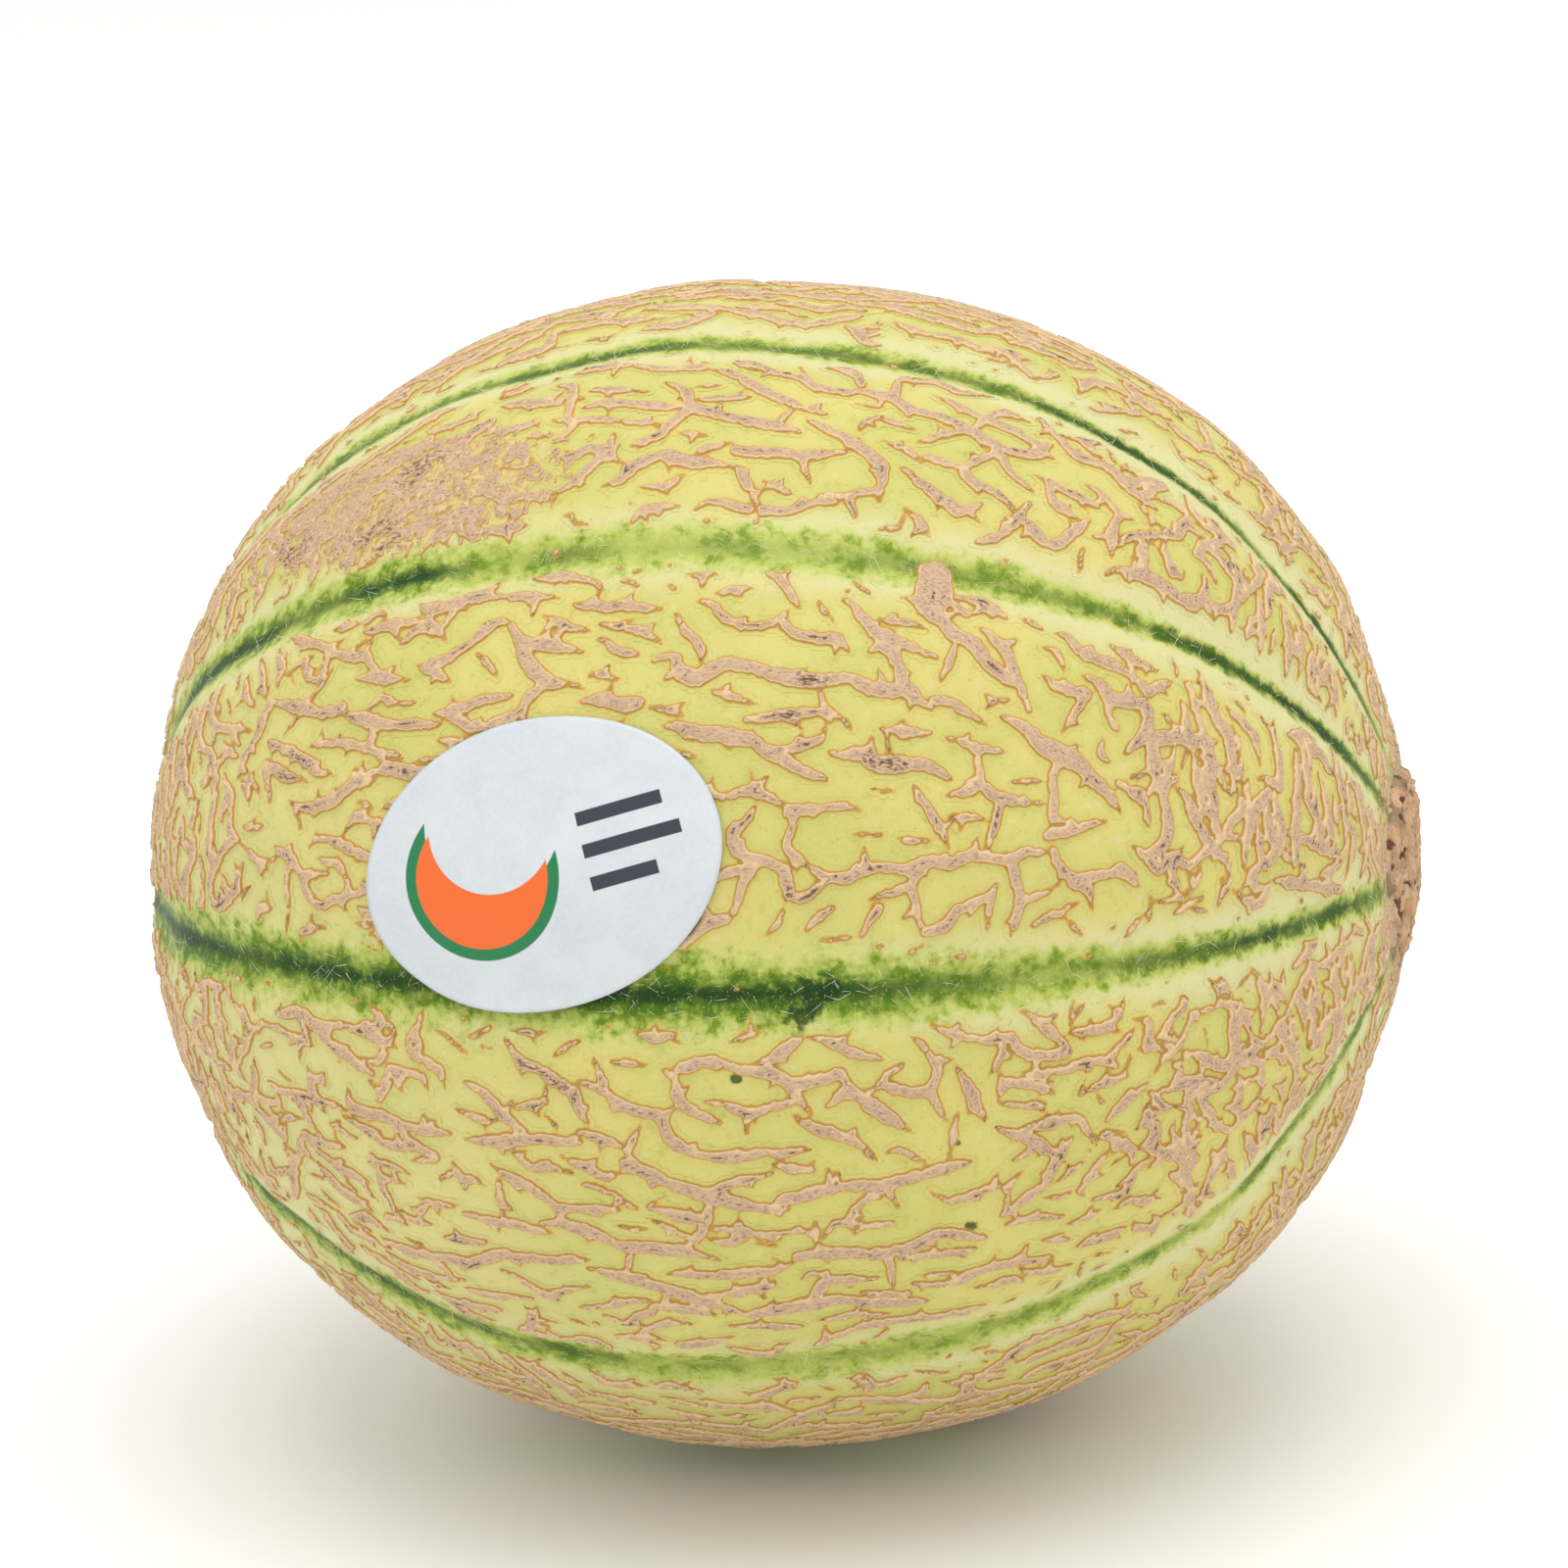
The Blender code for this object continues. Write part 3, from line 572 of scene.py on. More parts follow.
class Wire:
    """What comes out of a node. Arithmetic on one that is a number adds Math nodes to its tree."""

    def __init__(self, tree, socket):
        self.tree = tree
        self.socket = socket

    def math(self, operation, *others):
        """The outcome of a Math node for this number and others."""
        values = dict(enumerate((self, *others)))
        return self.tree.add("ShaderNodeMath", {"operation": operation}, values)

    def __add__(self, other):
        return self.math("ADD", other)

    def __radd__(self, other):
        return self.math("ADD", other)

    def __sub__(self, other):
        return self.math("SUBTRACT", other)

    def __rsub__(self, other):
        return self.tree.add("ShaderNodeMath", {"operation": "SUBTRACT"}, {0: other, 1: self})

    def __mul__(self, other):
        return self.math("MULTIPLY", other)

    def __rmul__(self, other):
        return self.math("MULTIPLY", other)

    def __truediv__(self, other):
        return self.math("DIVIDE", other)

    def __rtruediv__(self, other):
        return self.tree.add("ShaderNodeMath", {"operation": "DIVIDE"}, {0: other, 1: self})

    def __abs__(self):
        return self.math("ABSOLUTE")


class Tree:
    """A node tree that is being built."""

    def __init__(self, tree):
        self.tree = tree

    def add(self, kind, settings=None, inputs=None, output=0):
        """Adds a node of a kind, with its settings made first and its sockets filled, and gives an output."""
        node = self.tree.nodes.new(kind)
        for name, value in (settings or {}).items():
            setattr(node, name, value)
        for key, value in (inputs or {}).items():
            if isinstance(value, Wire):
                self.tree.links.new(value.socket, node.inputs[key])
            else:
                node.inputs[key].default_value = value
        return Wire(self, node.outputs[output])

    def noise(self, place, size, detail=3.0, roughness=0.55):
        """Noise from 0 to 1 with features of this size."""
        inputs = {"Vector": place, "Scale": 1.0 / size, "Detail": detail, "Roughness": roughness}
        return self.add("ShaderNodeTexNoise", {"noise_dimensions": "3D"}, inputs)

    def step(self, value, low, high):
        """0 at low, 1 at high, and a smooth step between. low may be above high."""
        settings = {"interpolation_type": "SMOOTHSTEP", "clamp": True}
        return self.add("ShaderNodeMapRange", settings, {"Value": value, "From Min": low, "From Max": high})

    def mix(self, share, first, second):
        """The first colour where share is 0 and the second where it is 1."""
        settings = {"data_type": "RGBA", "clamp_factor": True}
        return self.add("ShaderNodeMix", settings, {0: share, 6: first, 7: second}, output=2)

    def attribute(self, name):
        """A number that the mesh carries."""
        return self.add("ShaderNodeAttribute", {"attribute_name": name}, output=2)


def srgb(red, green, blue):
    """A colour as seen on a screen, from 0 to 255, as the linear colour that nodes take."""
    parts = [value / 255.0 for value in (red, green, blue)]
    linear = [part / 12.92 if part <= 0.04045 else ((part + 0.055) / 1.055) ** 2.4 for part in parts]
    return (*linear, 1.0)


def new_material(name, roughness=0.5, specular=0.15):
    """A material and its tree, with the Principled node's plain values set."""
    material = bpy.data.materials.new(name)
    material.use_nodes = True
    surface = material.node_tree.nodes["Principled BSDF"]
    surface.inputs["Roughness"].default_value = roughness
    surface.inputs["Specular IOR Level"].default_value = specular
    return material, Tree(material.node_tree), surface


def vector_math(tree, operation, *values, output=0):
    """The outcome of a Vector Math node for vectors that are linked or plain."""
    return tree.add("ShaderNodeVectorMath", {"operation": operation}, dict(enumerate(values)), output)


def wire_up(tree, surface, colour, roughness=None, bumps=()):
    """Feeds the shader its colour and roughness, and bumps given as pairs of height and depth in metres."""
    tree.tree.links.new(colour.socket, surface.inputs["Base Color"])
    if roughness is not None:
        tree.tree.links.new(roughness.socket, surface.inputs["Roughness"])
    normal = None
    for height, depth in bumps:
        inputs = {"Height": height, "Distance": depth, "Strength": 1.0}
        if normal is not None:
            inputs["Normal"] = normal
        normal = tree.add("ShaderNodeBump", None, inputs)
    if normal is not None:
        tree.tree.links.new(normal.socket, surface.inputs["Normal"])


# Materials

SKIN = srgb(204, 196, 114)
SKIN_WARM = srgb(210, 198, 116)
SKIN_GREEN = srgb(196, 193, 108)
SKIN_PALE = srgb(212, 208, 158)
HALO_LIGHT = srgb(178, 190, 70)
HALO_GREEN = srgb(122, 148, 34)
FURROW_GREEN = srgb(66, 104, 20)
DEEP_GREEN = srgb(28, 58, 20)
STAIN = srgb(204, 160, 70)
# Dark line round the net's outline: partly a crack between cork and skin, partly painted contact shade
CRACK_SHADE_LINE = srgb(162, 114, 50)
CORK_PALE = srgb(222, 193, 150)
CORK_TAN = srgb(206, 175, 141)
CORK_GREY = srgb(180, 150, 127)
CORK_BROWN = srgb(98, 70, 56)
CORK_FOOT = srgb(186, 140, 82)
PAPER = srgb(206, 210, 212)
PAPER_COOL = srgb(198, 204, 208)


def spot(tree, place, pixel, radius, ragged):
    """1 within a radius of what the photo shows at a pixel, and 0 beyond an edge that noise breaks."""
    latitude, turn = cast_back([pixel])
    centre = tuple(rind_at(latitude, turn)[0].tolist())
    distance = vector_math(tree, "DISTANCE", place, centre, output="Value")
    return tree.step(distance * (1.0 / radius) + (ragged - 0.5) * 2.2, 1.2, 0.6)


def skin_colour(tree, place):
    """Yellow-green skin, paler beside the furrows and towards the underside and the blossom end, with a
    mottled green halo round each furrow's darker line. Gives the colour and three of its noises."""
    broad = tree.noise(place, 15 * MM, 3.0)
    blotches = tree.noise(place, 3.2 * MM, 4.0, 0.62)
    patches = tree.noise(place, 1.5 * MM, 3.0, 0.6)
    grains = tree.noise(place, 0.7 * MM, 3.0, 0.6)
    specks = tree.noise(place, 0.30 * MM, 2.0, 0.5)
    furrow, halo, dark = (tree.attribute(name) for name in ("furrow", "halo", "dark"))
    ragged = (blotches - 0.5) * 1.9 + (patches - 0.5) * 1.7 + (grains - 0.5) * 1.3
    colour = tree.mix(tree.step(broad, 0.36, 0.62), SKIN_GREEN, SKIN_WARM)
    colour = tree.mix(tree.step(blotches, 0.30, 0.72) * 0.6, colour, SKIN)
    underside = vector_math(tree, "DOT_PRODUCT", place, (-1.0, 0.0, -0.6), output="Value")
    colour = tree.mix(tree.step(underside, -35 * MM, 45 * MM) * 0.70, colour, SKIN_PALE)
    colour = tree.mix(tree.step(patches, 0.58, 0.70) * 0.30, colour, SKIN_PALE)
    colour = tree.mix(tree.step(patches, 0.44, 0.32) * 0.16, colour, HALO_GREEN)
    margin = tree.step(furrow + ragged * 1.6 + (broad - 0.5) * 5.0, 6.5, 2.5)
    colour = tree.mix(margin * 0.75, colour, SKIN_PALE)
    mottled = 0.15 + 0.45 * dark + 0.75 * tree.step(blotches, 0.56, 0.40) * tree.step(patches, 0.62, 0.40)
    colour = tree.mix(tree.step(halo + ragged * 0.5, 1.30, 0.50) * 0.75, colour, HALO_LIGHT)
    colour = tree.mix(tree.step(halo + ragged * 0.6, 1.00, 0.30) * mottled, colour, HALO_GREEN)
    colour = tree.mix(tree.step(halo + ragged * 0.5, 0.70, 0.05) * (0.20 + 0.80 * dark), colour, FURROW_GREEN)
    colour = tree.mix(tree.step(furrow + ragged * 0.8, 1.45, 0.0) * dark * 0.9, colour, DEEP_GREEN)
    for pixel, radius in GREEN_SPOTS:
        colour = tree.mix(spot(tree, place, pixel, radius, patches) * 0.85, colour, DEEP_GREEN)
    colour = tree.mix(tree.step(specks, 0.62, 0.72) * 0.35, colour, SKIN_PALE)
    colour = tree.mix(tree.step(grains, 0.38, 0.28) * 0.25, colour, HALO_GREEN)
    corky = tree.step(tree.attribute("cork") + (blotches - 0.5) * 0.9 + (grains - 0.5) * 0.9, 0.35, 0.75)
    colour = tree.mix(corky * 0.5, colour, tree.mix(tree.step(grains, 0.35, 0.65), CORK_GREY, CORK_PALE))
    return colour, blotches, grains, specks


def rind_material():
    """Skin, with cork over it at the scars and in the corky patch."""
    material, tree, surface = new_material("rind", 0.45)
    place = tree.add("ShaderNodeTexCoord", output="Object")
    colour, _, grains, specks = skin_colour(tree, place)
    roughness = 0.40 + 0.14 * grains + 0.3 * tree.attribute("cork")
    wire_up(tree, surface, colour, roughness, [(grains, 0.10 * MM), (specks, 0.04 * MM)])
    return material


def net_material():
    """Cork with pale lips and a streaked, greyer middle that is cleft in places, skin that it stains, and a
    dark line at its outline that is partly a crack and partly painted contact shade.
    """
    material, tree, surface = new_material("cork_net", 0.8)
    place = tree.add("ShaderNodeTexCoord", output="Object")
    lengthwise = vector_math(tree, "MULTIPLY", place, (0.4, 1.0, 1.0))
    skin, blotches, grains, _ = skin_colour(tree, place)
    inside = tree.attribute("inside") * (1.0 / MM)
    middle = tree.attribute("middle") * (1.0 / MM)
    crust = tree.attribute("cork")
    streaks = tree.noise(lengthwise, 0.24 * MM, 3.0, 0.6)
    brown = 0.0
    for pixel, radius in BROWN_SPOTS:
        brown = spot(tree, place, pixel, radius, blotches).math("MAXIMUM", brown)
    depth = inside + (grains - 0.5) * 0.12
    stain = tree.step(depth, -0.30, 0.0) * (0.35 + 0.6 * blotches)
    # A dark line along the outline, partly a crack and partly painted contact shade where the strands meet
    # the skin
    line = tree.step(abs(depth + 0.01), 0.10, 0.02) * (0.15 + 1.0 * blotches) * (1.0 - 0.8 * crust)
    rim = tree.step(abs(depth - 0.22), 0.07, 0.02) * tree.step(blotches, 0.30, 0.60)
    core = tree.step(depth, 0.20, 0.34)
    cleft = tree.step(middle + (grains - 0.5) * 0.5, 0.14, 0.03) * (1.0 - crust)
    cleft = cleft * tree.step(blotches + 0.2 * brown, 0.52, 0.62)
    heart = tree.mix(tree.step(streaks, 0.36, 0.60), CORK_GREY, CORK_TAN)
    heart = tree.mix(tree.step(streaks, 0.41, 0.31) * 0.45, heart, CORK_BROWN)
    heart = tree.mix(tree.step(blotches, 0.54, 0.72) * 0.35, heart, CORK_GREY)
    cork = tree.mix(tree.step(depth, 0.02, 0.11), CORK_FOOT, CORK_PALE)
    cork = tree.mix(core, cork, heart)
    cork = tree.mix(rim * 0.35, cork, CORK_BROWN)
    cork = tree.mix(cleft * core * 0.85, cork, CORK_BROWN)
    cork = tree.mix(crust * tree.step(grains, 0.48, 0.36) * 0.5, cork, CORK_GREY)
    cork = tree.mix(crust * tree.step(streaks, 0.40, 0.28) * 0.5, cork, CORK_BROWN)
    cork = tree.mix(brown * tree.step(streaks, 0.60, 0.35) * (0.35 + 0.5 * core), cork, CORK_BROWN)
    colour = tree.mix(stain, skin, STAIN)
    colour = tree.mix(tree.step(depth, 0.0, 0.04), colour, cork)
    # The dark outline line: a crack with painted contact shade
    colour = tree.mix(line * 0.8, colour, CRACK_SHADE_LINE)
    roughness = 0.45 + tree.step(inside, -0.02, 0.10) * (0.25 + 0.2 * streaks)
    bumps = [(streaks, 0.07 * MM), (grains, 0.10 * MM), (1.0 - cleft, 0.12 * MM)]
    wire_up(tree, surface, colour, roughness, bumps)
    return material


def hair_material():
    """Short dry hairs."""
    material, tree, surface = new_material("hairs", 0.6)
    place = tree.add("ShaderNodeTexCoord", output="Object")
    colour = tree.mix(tree.noise(place, 3 * MM), srgb(228, 226, 180), srgb(246, 242, 214))
    wire_up(tree, surface, colour)
    return material


def scar_material():
    """The corky face where the stem came off: tan, with brown pits and orange flecks, and stained green-grey
    where the furrows reach it."""
    material, tree, surface = new_material("stem_scar", 0.85)
    place = tree.add("ShaderNodeTexCoord", output="Object")
    blotches = tree.noise(place, 2.4 * MM, 4.0, 0.65)
    grains = tree.noise(place, 0.7 * MM, 4.0, 0.65)
    depth, stain = tree.attribute("pit"), tree.attribute("stain")
    colour = tree.mix(tree.step(blotches, 0.38, 0.62), srgb(174, 140, 108), srgb(206, 174, 140))
    colour = tree.mix(tree.step(grains, 0.55, 0.64) * 0.7, colour, srgb(214, 154, 72))
    colour = tree.mix(tree.step(grains, 0.44, 0.34) * 0.55, colour, srgb(128, 90, 68))
    colour = tree.mix(tree.step(depth + (grains - 0.5) * 0.8, 0.25, 0.7) * 0.9, colour, srgb(92, 56, 42))
    colour = tree.mix(tree.step(stain + (grains - 0.5) * 2.0, 0.55, 1.0) * 0.55, colour, srgb(84, 84, 66))
    wire_up(tree, surface, colour, 0.75 + 0.2 * grains, [(grains, 0.25 * MM)])
    return material


def disc(tree, x, y, centre_x, centre_y, radius):
    """1 inside a printed circle, in millimetres of the unrolled label."""
    right, up = x - centre_x, y - centre_y
    distance = (right * right + up * up).math("SQRT")
    return tree.step(distance, radius + CIRCLE_EDGE, radius - CIRCLE_EDGE)


def crescent(tree, x, y, outer, bite):
    """1 inside one printed circle and outside another."""
    return disc(tree, x, y, *outer) * (1.0 - disc(tree, x, y, *bite))


def bar(tree, x, y, left, right, low, high):
    """1 inside a printed bar, in millimetres of the unrolled label."""
    inside = tree.step(x, left - BAR_EDGE, left + BAR_EDGE) * tree.step(x, right + BAR_EDGE, right - BAR_EDGE)
    inside = inside * tree.step(y, low - BAR_EDGE, low + BAR_EDGE)
    return inside * tree.step(y, high + BAR_EDGE, high - BAR_EDGE)


def paper_material():
    """Coated white paper, printed with a slice of fruit and three plain bars."""
    material, tree, surface = new_material("label_paper", 0.35, 0.4)
    place = tree.add("ShaderNodeTexCoord", output="Object")
    fibres = tree.noise(place, 0.5 * MM, 3.0)
    creases = tree.noise(place, 5 * MM, 2.0)
    x, y = tree.attribute("label_x"), tree.attribute("label_y")
    slice_rind = crescent(tree, x, y, *SLICE_RIND)
    slice_flesh = crescent(tree, x, y, *SLICE_FLESH)
    bars = sum(bar(tree, x, y, *edges) for edges in BARS)
    colour = tree.mix(tree.step(creases, 0.3, 0.7), PAPER_COOL, PAPER)
    colour = tree.mix(tree.step(fibres, 0.35, 0.65) * 0.25, colour, srgb(216, 221, 226))
    colour = tree.mix(slice_rind, colour, srgb(24, 120, 70))
    colour = tree.mix(slice_flesh, colour, srgb(232, 104, 38))
    colour = tree.mix(bars, colour, srgb(52, 56, 66))
    roughness = 0.30 + 0.10 * fibres
    wire_up(tree, surface, colour, roughness, [(creases, 0.25 * MM), (fibres, 0.01 * MM)])
    return material


def floor_material():
    """A plain pale floor."""
    material, tree, surface = new_material("floor", 0.6)
    place = tree.add("ShaderNodeTexCoord", output="Object")
    colour = tree.mix(tree.noise(place, 0.6), srgb(244, 244, 243), srgb(248, 248, 247))
    wire_up(tree, surface, colour)
    return material


# Pieces

def in_scene(name, data):
    """A new object in the scene, with this data."""
    thing = bpy.data.objects.new(name, data)
    bpy.context.scene.collection.objects.link(thing)
    return thing


def mesh_object(name, points, faces, material=None, numbers=None):
    """A smooth mesh object at the origin, with the numbers that its points carry."""
    mesh = bpy.data.meshes.new(name)
    mesh.from_pydata(np.asarray(points).reshape(-1, 3).tolist(), [], [list(face) for face in faces])
    for key, values in (numbers or {}).items():
        layer = mesh.attributes.new(key, "FLOAT", "POINT")
        layer.data.foreach_set("value", np.asarray(values, np.float32).ravel())
    mesh.shade_smooth()
    if material is not None:
        mesh.materials.append(material)
    return in_scene(name, mesh)


def furrow_columns():
    """Turns for the rind's columns, which fall on every furrow and crowd towards it."""
    turns = sorted(math.radians(value) for value in FURROW_TURNS)
    turns.append(turns[0] + 2.0 * math.pi)
    columns = []
    for start, end in zip(turns, turns[1:]):
        count = round((end - start) * RADIUS / RIND_COLUMN)
        for k in range(count):
            share = k / count
            share -= RIND_CROWDING * math.sin(2.0 * math.pi * share)
            columns.append(start + (end - start) * share)
    return np.array(columns)


def even_latitudes(count):
    """Latitudes that are evenly spaced over the rind, without the poles."""
    fine = np.linspace(-POLE, POLE, 4001)
    reach = np.concatenate([[0.0], np.cumsum(meridian_rate(0.5 * (fine[1:] + fine[:-1])) * np.diff(fine))])
    return np.interp(np.linspace(0.0, reach[-1], count + 2)[1:-1], reach, fine)


def halo_share(latitude, turn):
    """The distance to the nearest furrow as a share of its green halo, which narrows towards the stem."""
    width = np.array(HALO_WIDTHS)[furrow_gaps(turn).argmin(axis=-1)]
    return furrow_distance(latitude, turn) / (width * (0.40 + 0.60 * smooth(0.95, 0.15, latitude)))


def furrow_darkness(latitude, turn):
    """How dark the green is by the nearest furrow, from 0 to 1, with slow changes along it."""
    nearest = furrow_gaps(turn).argmin(axis=-1)
    total = 0.12 + 0.16 * ripples(body_at(latitude, turn), 16 * MM, 9)
    for furrow, centre, half_length, darkness in DARK_STRETCHES:
        along = (np.degrees(latitude) - centre) / half_length
        total = total + (nearest == FURROW_TURNS.index(furrow)) * darkness * np.exp(-along ** 2)
    return np.clip(total, 0.0, 1.0)


def skin_numbers(latitude, turn):
    """What the skin's colours go by: the distance from a furrow in millimetres and in widths of its halo, how
    dark the furrow is, and the share of cork."""
    return {
        "furrow": furrow_distance(latitude, turn) / MM,
        "halo": halo_share(latitude, turn),
        "dark": furrow_darkness(latitude, turn),
        "cork": cork_share(latitude, turn),
    }


def build_rind(material):
    """The skin of the whole fruit as one closed mesh: rings of points from pole to pole."""
    turns = furrow_columns()
    latitudes = even_latitudes(RIND_ROWS)
    latitude, turn = np.meshgrid(latitudes, turns, indexing="ij")
    latitude, turn = latitude.ravel(), turn.ravel()
    latitude = np.concatenate([latitude, [-POLE, POLE]])
    turn = np.concatenate([turn, [0.0, 0.0]])
    points = rind_at(latitude, turn)
    columns, south = len(turns), len(latitude) - 2
    faces = []
    for row in range(RIND_ROWS - 1):
        for column in range(columns):
            after = (column + 1) % columns
            a, b = row * columns, (row + 1) * columns
            faces.append((a + column, a + after, b + after, b + column))
    last = (RIND_ROWS - 1) * columns
    for column in range(columns):
        after = (column + 1) % columns
        faces.append((south, after, column))
        faces.append((last + column, last + after, south + 1))
    return mesh_object("rind", points, faces, material, skin_numbers(latitude, turn))


# The net

class Net:
    """Strands on the smooth body, and boxes of space that tell which of them pass near a place."""

    BOX = 2.5 * MM

    def __init__(self):
        self.draw = random.Random(NET_SEED)
        self.strands = []
        self.seen = range(0)
        self.boxes = {}

    def keep(self, path, widths):
        """Adds a strand: its places as latitude and turn, rounded so that each run gives the same, and its
        width at each."""
        path = [(round(latitude, 7), round(turn, 7)) for latitude, turn in path]
        number = len(self.strands)
        self.strands.append((path, widths))
        for latitude, turn in path:
            place = place_of(latitude, turn)
            box = tuple(int(value // self.BOX) for value in place)
            self.boxes.setdefault(box, []).append((place, number))
        return number

    def near(self, place, reach, ignore=-1, seen_only=False):
        """Whether a strand, other than the one to ignore, passes within this reach of a place."""
        low = [int((value - reach) // self.BOX) for value in place]
        high = [int((value + reach) // self.BOX) for value in place]
        x, y, z = place
        for i in range(low[0], high[0] + 1):
            for j in range(low[1], high[1] + 1):
                for k in range(low[2], high[2] + 1):
                    for other, number in self.boxes.get((i, j, k), ()):
                        if number == ignore or (seen_only and number not in self.seen):
                            continue
                        if (x - other[0]) ** 2 + (y - other[1]) ** 2 + (z - other[2]) ** 2 < reach * reach:
                            return True
        return False


def place_of(latitude, turn):
    """A point of the smooth body, for a single place."""
    radius = RADIUS * max(math.cos(latitude), 0.0) ** BLUNTNESS
    return (HALF_LENGTH * math.sin(latitude), -radius * math.cos(turn), radius * math.sin(turn))


def end_share(latitude):
    """0 in the middle of the fruit, where strands run along it, and 1 near its ends, where they run round."""
    return float(smooth(0.50, 0.95, abs(latitude)))


def lie_at(latitude):
    """The heading that strands favour at a latitude, and how strongly, from 0 to 1."""
    share = end_share(latitude)
    return (0.5 * math.pi if share > 0.5 else MIDDLE_LIE), abs(1.0 - 2.0 * share)


def openness(latitude, turn):
    """How wide the net's meshes are, round 1: they change from place to place, and are small at the ends."""
    broad = noise.noise(Vector(place_of(latitude, turn)) / (22 * MM))
    apart = math.hypot(math.degrees(latitude) - OPEN_SPOT[0], math.degrees(turn) - OPEN_SPOT[1])
    wide = 1.0 + 0.35 * broad + 0.45 * float(smooth(30.0, 8.0, apart))
    return wide * (1.0 - 0.42 * end_share(latitude))


def stepped(latitude, turn, heading, length):
    """The place a length away over the body. A heading of 0 runs along the fruit, a quarter turn round it."""
    latitude += length * math.cos(heading) / float(meridian_rate(latitude))
    turn += length * math.sin(heading) / max(float(section_radius(latitude)), 1e-4)
    return min(max(latitude, -POLE), POLE), turn


def bare(latitude, turn, ragged):
    """Whether a place is kept free of strands: beside a furrow, or on a scar."""
    radius = float(section_radius(latitude))
    if radius < (SCAR_RADIUS if latitude > 0 else BUTTON_RADIUS):
        return True
    fade = 0.2 + 0.8 * float(smooth(*BARE_RADII, radius))
    return float(furrow_distance(latitude, turn)) < BARE_HALF_WIDTH * ragged * fade


def grow(net, latitude, turn, heading, length, parent=-1):
    """A crack that grows from a place until it is long enough, meets a strand, or comes to a bare place."""
    draw = net.draw
    path, close = [(latitude, turn)], 0
    ragged = draw.uniform(0.75, 1.45)
    room = draw.choice((TOUCH, SHY_ROOM))
    tight = 1.0 - 0.45 * float(smooth(0.4, 0.9, latitude))
    for _ in range(int(length / STEP)):
        lie, pull = lie_at(latitude)
        heading += draw.gauss(0.0, WANDER) - LIE_PULL * pull * math.sin(2.0 * (heading - lie))
        if draw.random() < KINK_CHANCE:
            heading += draw.choice((-1.0, 1.0)) * draw.uniform(0.4, KINK_TURN)
        latitude, turn = stepped(latitude, turn, heading, STEP)
        if bare(latitude, turn, ragged):
            return path, False
        path.append((latitude, turn))
        place = place_of(latitude, turn)
        if net.near(place, room * tight, parent):
            return path, room == TOUCH
        close = close + 1 if net.near(place, ELBOW_ROOM * tight, parent) else 0
        if close > 4:
            return path, False
    return path, False


def spindle(count, width, draw, start_joined, end_joined):
    """Widths along a strand: pointed at free ends, swollen and pinched between."""
    waist = draw.uniform(6.0, 13.0) * MM
    phase = draw.uniform(0.0, math.pi)
    reach = 2.4 * width + 0.6 * MM
    widths = []
    for k in range(count):
        before, after = k * STEP, (count - 1 - k) * STEP
        taper = 1.0
        if not start_joined:
            taper *= min(1.0, before / reach) ** 0.75
        if not end_joined:
            taper *= min(1.0, after / reach) ** 0.75
        swelling = 0.66 + 0.34 * abs(math.sin(math.pi * before / waist + phase))
        widths.append(width * swelling * taper)
    return widths


def ridge_lines():
    """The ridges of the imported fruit's net, as places joined by edges."""
    source = bmesh.new()
    source.from_mesh(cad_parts["melon"].data)
    bmesh.ops.remove_doubles(source, verts=source.verts, dist=0.01 * MM)
    points = np.array([vert.co for vert in source.verts])
    latitude, turn, height = angles_at(points)
    over = height + furrow_depth(latitude, turn)
    crest = (over > CREST_HEIGHT) & (section_radius(latitude) > 1.1 * SCAR_RADIUS)
    source.verts.index_update()
    edges = [
        (edge.verts[0].index, edge.verts[1].index) for edge in source.edges
        if crest[edge.verts[0].index] and crest[edge.verts[1].index]
    ]
    source.free()
    return body_at(latitude, turn), edges


def straightest_pairs(points, edges, draw):
    """The edge that runs most nearly straight on from an edge that ends at a corner, for each such pair."""
    at = {}
    for number, edge in enumerate(edges):
        for corner in edge:
            at.setdefault(corner, []).append(number)
    follows = {}
    for corner, numbers in at.items():
        ways = {}
        for number in numbers:
            way = points[sum(edges[number]) - corner] - points[corner]
            ways[number] = way / np.linalg.norm(way)
        pairs = [(float(ways[a] @ ways[b]), a, b) for a in numbers for b in numbers if a < b]
        if pairs and min(pairs)[0] < -0.45 and draw.random() > 0.25:
            _, first, second = min(pairs)
            follows[corner, first] = second
            follows[corner, second] = first
    return follows


def through_lines(points, edges, draw):
    """Chains of ridges that run straight on through the net's corners, as lists of corner numbers."""
    follows = straightest_pairs(points, edges, draw)
    used, chains = set(), []
    for number, (start, end) in enumerate(edges):
        if number in used:
            continue
        used.add(number)
        halves = []
        for corner in (start, end):
            half, current = [corner], number
            while follows.get((corner, current), number) not in used:
                current = follows[corner, current]
                used.add(current)
                corner = sum(edges[current]) - corner
                half.append(corner)
            halves.append(half)
        chains.append(halves[0][::-1] + halves[1])
    return chains


def wandered(point):
    """A point of the body pushed aside by noise, which turns straight ridges into crooked ones."""
    coarse = noise.noise_vector(point / (6.5 * MM))
    fine = noise.noise_vector(point / (1.9 * MM) + Vector((31.0, 7.0, 19.0)))
    return point + coarse * 2.0 * MM + fine * 0.45 * MM


def camera_axes():
    """The camera's right, up and backward directions and its place."""
    azimuth, elevation, roll = map(math.radians, (CAMERA_AZIMUTH, CAMERA_ELEVATION, CAMERA_ROLL))
    back = Vector((
        math.sin(azimuth) * math.cos(elevation),
        -math.cos(azimuth) * math.cos(elevation),
        math.sin(elevation),
    ))
    level = Vector((0.0, 0.0, 1.0)).cross(back).normalized()
    upright = back.cross(level)
    right = math.cos(roll) * level + math.sin(roll) * upright
    up = math.cos(roll) * upright - math.sin(roll) * level
    place = Vector((0.0, 0.0, LIFT)) + CAMERA_RIGHT * right + CAMERA_UP * up + CAMERA_DISTANCE * back
    return right, up, back, place


